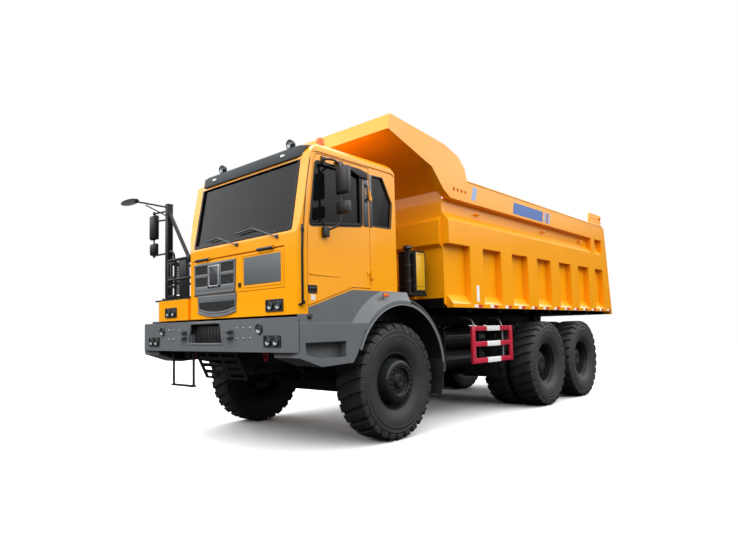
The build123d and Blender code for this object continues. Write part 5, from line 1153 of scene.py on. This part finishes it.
# Dashboard: a moulded desk with a hooded binnacle, air vents and the steering wheel on its column.
# Grained dark plastic over a steel bar; the wheel is rubber on a steel ring with four spokes.
mesh = bmesh.new()
desk = ((-1556, 2300), (-1556, 2470), (-1400, 2466), (-1262, 2412), (-1248, 2340), (-1330, 2150), (-1352, 2060),
        (-1556, 2060))
sheet_piece(mesh, [(-628, y, z) for y, z in desk], (2156, 0, 0), 16)
hood = ((-1450, 2466), (-1440, 2540), (-1330, 2556), (-1268, 2520), (-1330, 2500), (-1340, 2420))
sheet_piece(mesh, [(760, y, z) for y, z in hood], (500, 0, 0), 12)
for x in (-500, -200, 420, 1380):
    vent = [(x - 80, -1255, 2350), (x + 80, -1255, 2350), (x + 80, -1262, 2404), (x - 80, -1262, 2404)]
    frame_ring(mesh, rounded(vent, 10), 10, (0, 12, 4))
    for z in (2364, 2378, 2392):
        brick(mesh, (x - 70, -1268, z), (x + 70, -1248, z + 3))
for x in range(560, 740, 44):
    brick(mesh, (x - 17, -1262, 2352), (x + 17, -1244, 2400), 4)
dash_plastic = plain_finish("grained_dash_plastic", "#25272A", 0.7)
dress("desk", mesh, "root", dash_plastic, stands_for="dashboard")
mesh = bmesh.new()
hub = Vector((1010, -1034, 2564))
axis = Vector((0, 0.42, 0.9)).normalized()
turn_side = Vector((1, 0, 0))
turn_up = axis.cross(turn_side)


def spoke_way(turn):
    """Direction from the steering wheel's hub."""
    return turn_side * cos(turn) + turn_up * sin(turn)


spokes = [spoke_way(2 * pi * count / 48) for count in range(48)]
rim_rings = [ring_at(mesh, hub + axis * 15 + spoke * 216, spoke, axis, 14, 10) for spoke in spokes]
join_rings(mesh, rim_rings + rim_rings[:1])
for turn in (0.35, pi - 0.35, pi + 0.5, 2 * pi - 0.5):
    tube(mesh, (hub + spoke_way(turn) * 40, hub + spoke_way(turn) * 214 + axis * 14), 11, 8)
lathe(mesh, ((-26, 0), (-26, 44), (-10, 70), (14, 74), (26, 62), (30, 0)), hub, axis, 28)
lathe(mesh, ((-20, 0), (-20, 34), (-250, 42), (-250, 0)), hub, axis, 20)
dress("steering_wheel", mesh, "root", black_plastic)

# Studio: a matt pale floor, a key light high in front, a wider light at the left rear, and a surround.
# The camera sees the surround white; as light, it is bright above the horizon and dark near and below it.
pale_floor, floor_tree, floor_shader = new_finish("pale_studio_floor")
# pale to the eye, but it throws little light back under the truck
floor_seen = add_node(floor_tree, "ShaderNodeLightPath")
floor_tone = add_node(floor_tree, "ShaderNodeValToRGB", {}, {"Fac": floor_seen.outputs["Is Camera Ray"]})
for stop, tone in zip(floor_tone.color_ramp.elements, ("#3A3A3A", "#F4F4F4")):
    stop.color = linear(tone)
fill(floor_tree, floor_shader, {
    "Base Color": floor_tone.outputs["Color"], "Roughness": 0.9, "Specular IOR Level": 0.1})
mesh = bmesh.new()
lathe(mesh, ((0, 0), (0, 40000)), (0, 2790, -1), (0, 0, 1), 64)
floor = placed("floor", mesh, pale_floor)

surround = bpy.data.worlds.new("white_surround")
surround.use_nodes = True
sky = surround.node_tree
sky.nodes.clear()
looking = add_node(sky, "ShaderNodeTexCoord")
height = add_node(sky, "ShaderNodeSeparateXYZ", {}, {"Vector": looking.outputs["Generated"]})
seen = add_node(sky, "ShaderNodeLightPath")
shown = None
# light on matt surfaces, light in polished ones with its sharper horizon, and what the eye sees behind the truck
for ray, strength, positions, tones in (("Is Diffuse Ray", 2.8, (0.18, 0.5), ("#1C1C1C", "#FFFFFF")),
                                        ("Is Glossy Ray", 3.4, (0.14, 0.27), ("#141414", "#F2F2F2")),
                                        ("Is Camera Ray", 1.0, (0.0, 1.0), ("#FFFFFF", "#FFFFFF"))):
    band = add_node(sky, "ShaderNodeValToRGB", {}, {"Fac": height.outputs["Z"]})
    for stop, position, tone in zip(band.color_ramp.elements, positions, tones):
        stop.position = position
        stop.color = linear(tone)
    glow = add_node(sky, "ShaderNodeBackground", {}, {"Color": band.outputs["Color"], "Strength": strength})
    if shown is None:
        shown = glow.outputs["Background"]
        continue
    either = add_node(sky, "ShaderNodeMixShader", {}, {
        "Fac": seen.outputs[ray], 1: shown, 2: glow.outputs["Background"]})
    shown = either.outputs["Shader"]
add_node(sky, "ShaderNodeOutputWorld", {}, {"Surface": shown})
bpy.context.scene.world = surround

# (name, place, watts, width in m)
for name, place, power, width in (("key_light", (-1500, -9500, 8500), 320, 6.0),
                                  ("side_light", (11000, 5500, 6500), 190, 9.0)):
    lamp = bpy.data.lights.new(name, "AREA")
    lamp.energy = power
    lamp.size = width
    light = new_object(name, lamp)
    light.location = spot(*place)
    light.rotation_euler = (spot(0, 2500, 1800) - light.location).to_track_quat("-Z", "Y").to_euler()

# Camera: low at the truck's front left corner, level with the bumper and turned a little up.
# A wide lens, about six metres from the bumper's corner, with a slight roll and shift.
yaw, pitch, roll = radians(42.63), radians(4.25), radians(-1.34)
forward = Vector((-sin(yaw) * cos(pitch), cos(yaw) * cos(pitch), sin(pitch)))
across = Vector((cos(yaw), sin(yaw), 0))
above = across.cross(forward)
right = cos(roll) * across + sin(roll) * above
up = cos(roll) * above - sin(roll) * across
lens = bpy.data.cameras.new("camera")
lens.lens = 27.06
lens.sensor_width = 36
lens.shift_x = 0.0176
lens.shift_y = 0.0186
lens.clip_end = 200
camera = new_object("camera", lens)
stand = Matrix((right, up, -forward)).transposed().to_4x4()
stand.translation = spot(6046, -5618, 1412)
camera.matrix_world = stand
bpy.context.scene.camera = camera
bpy.context.scene.view_settings.view_transform = "Standard"
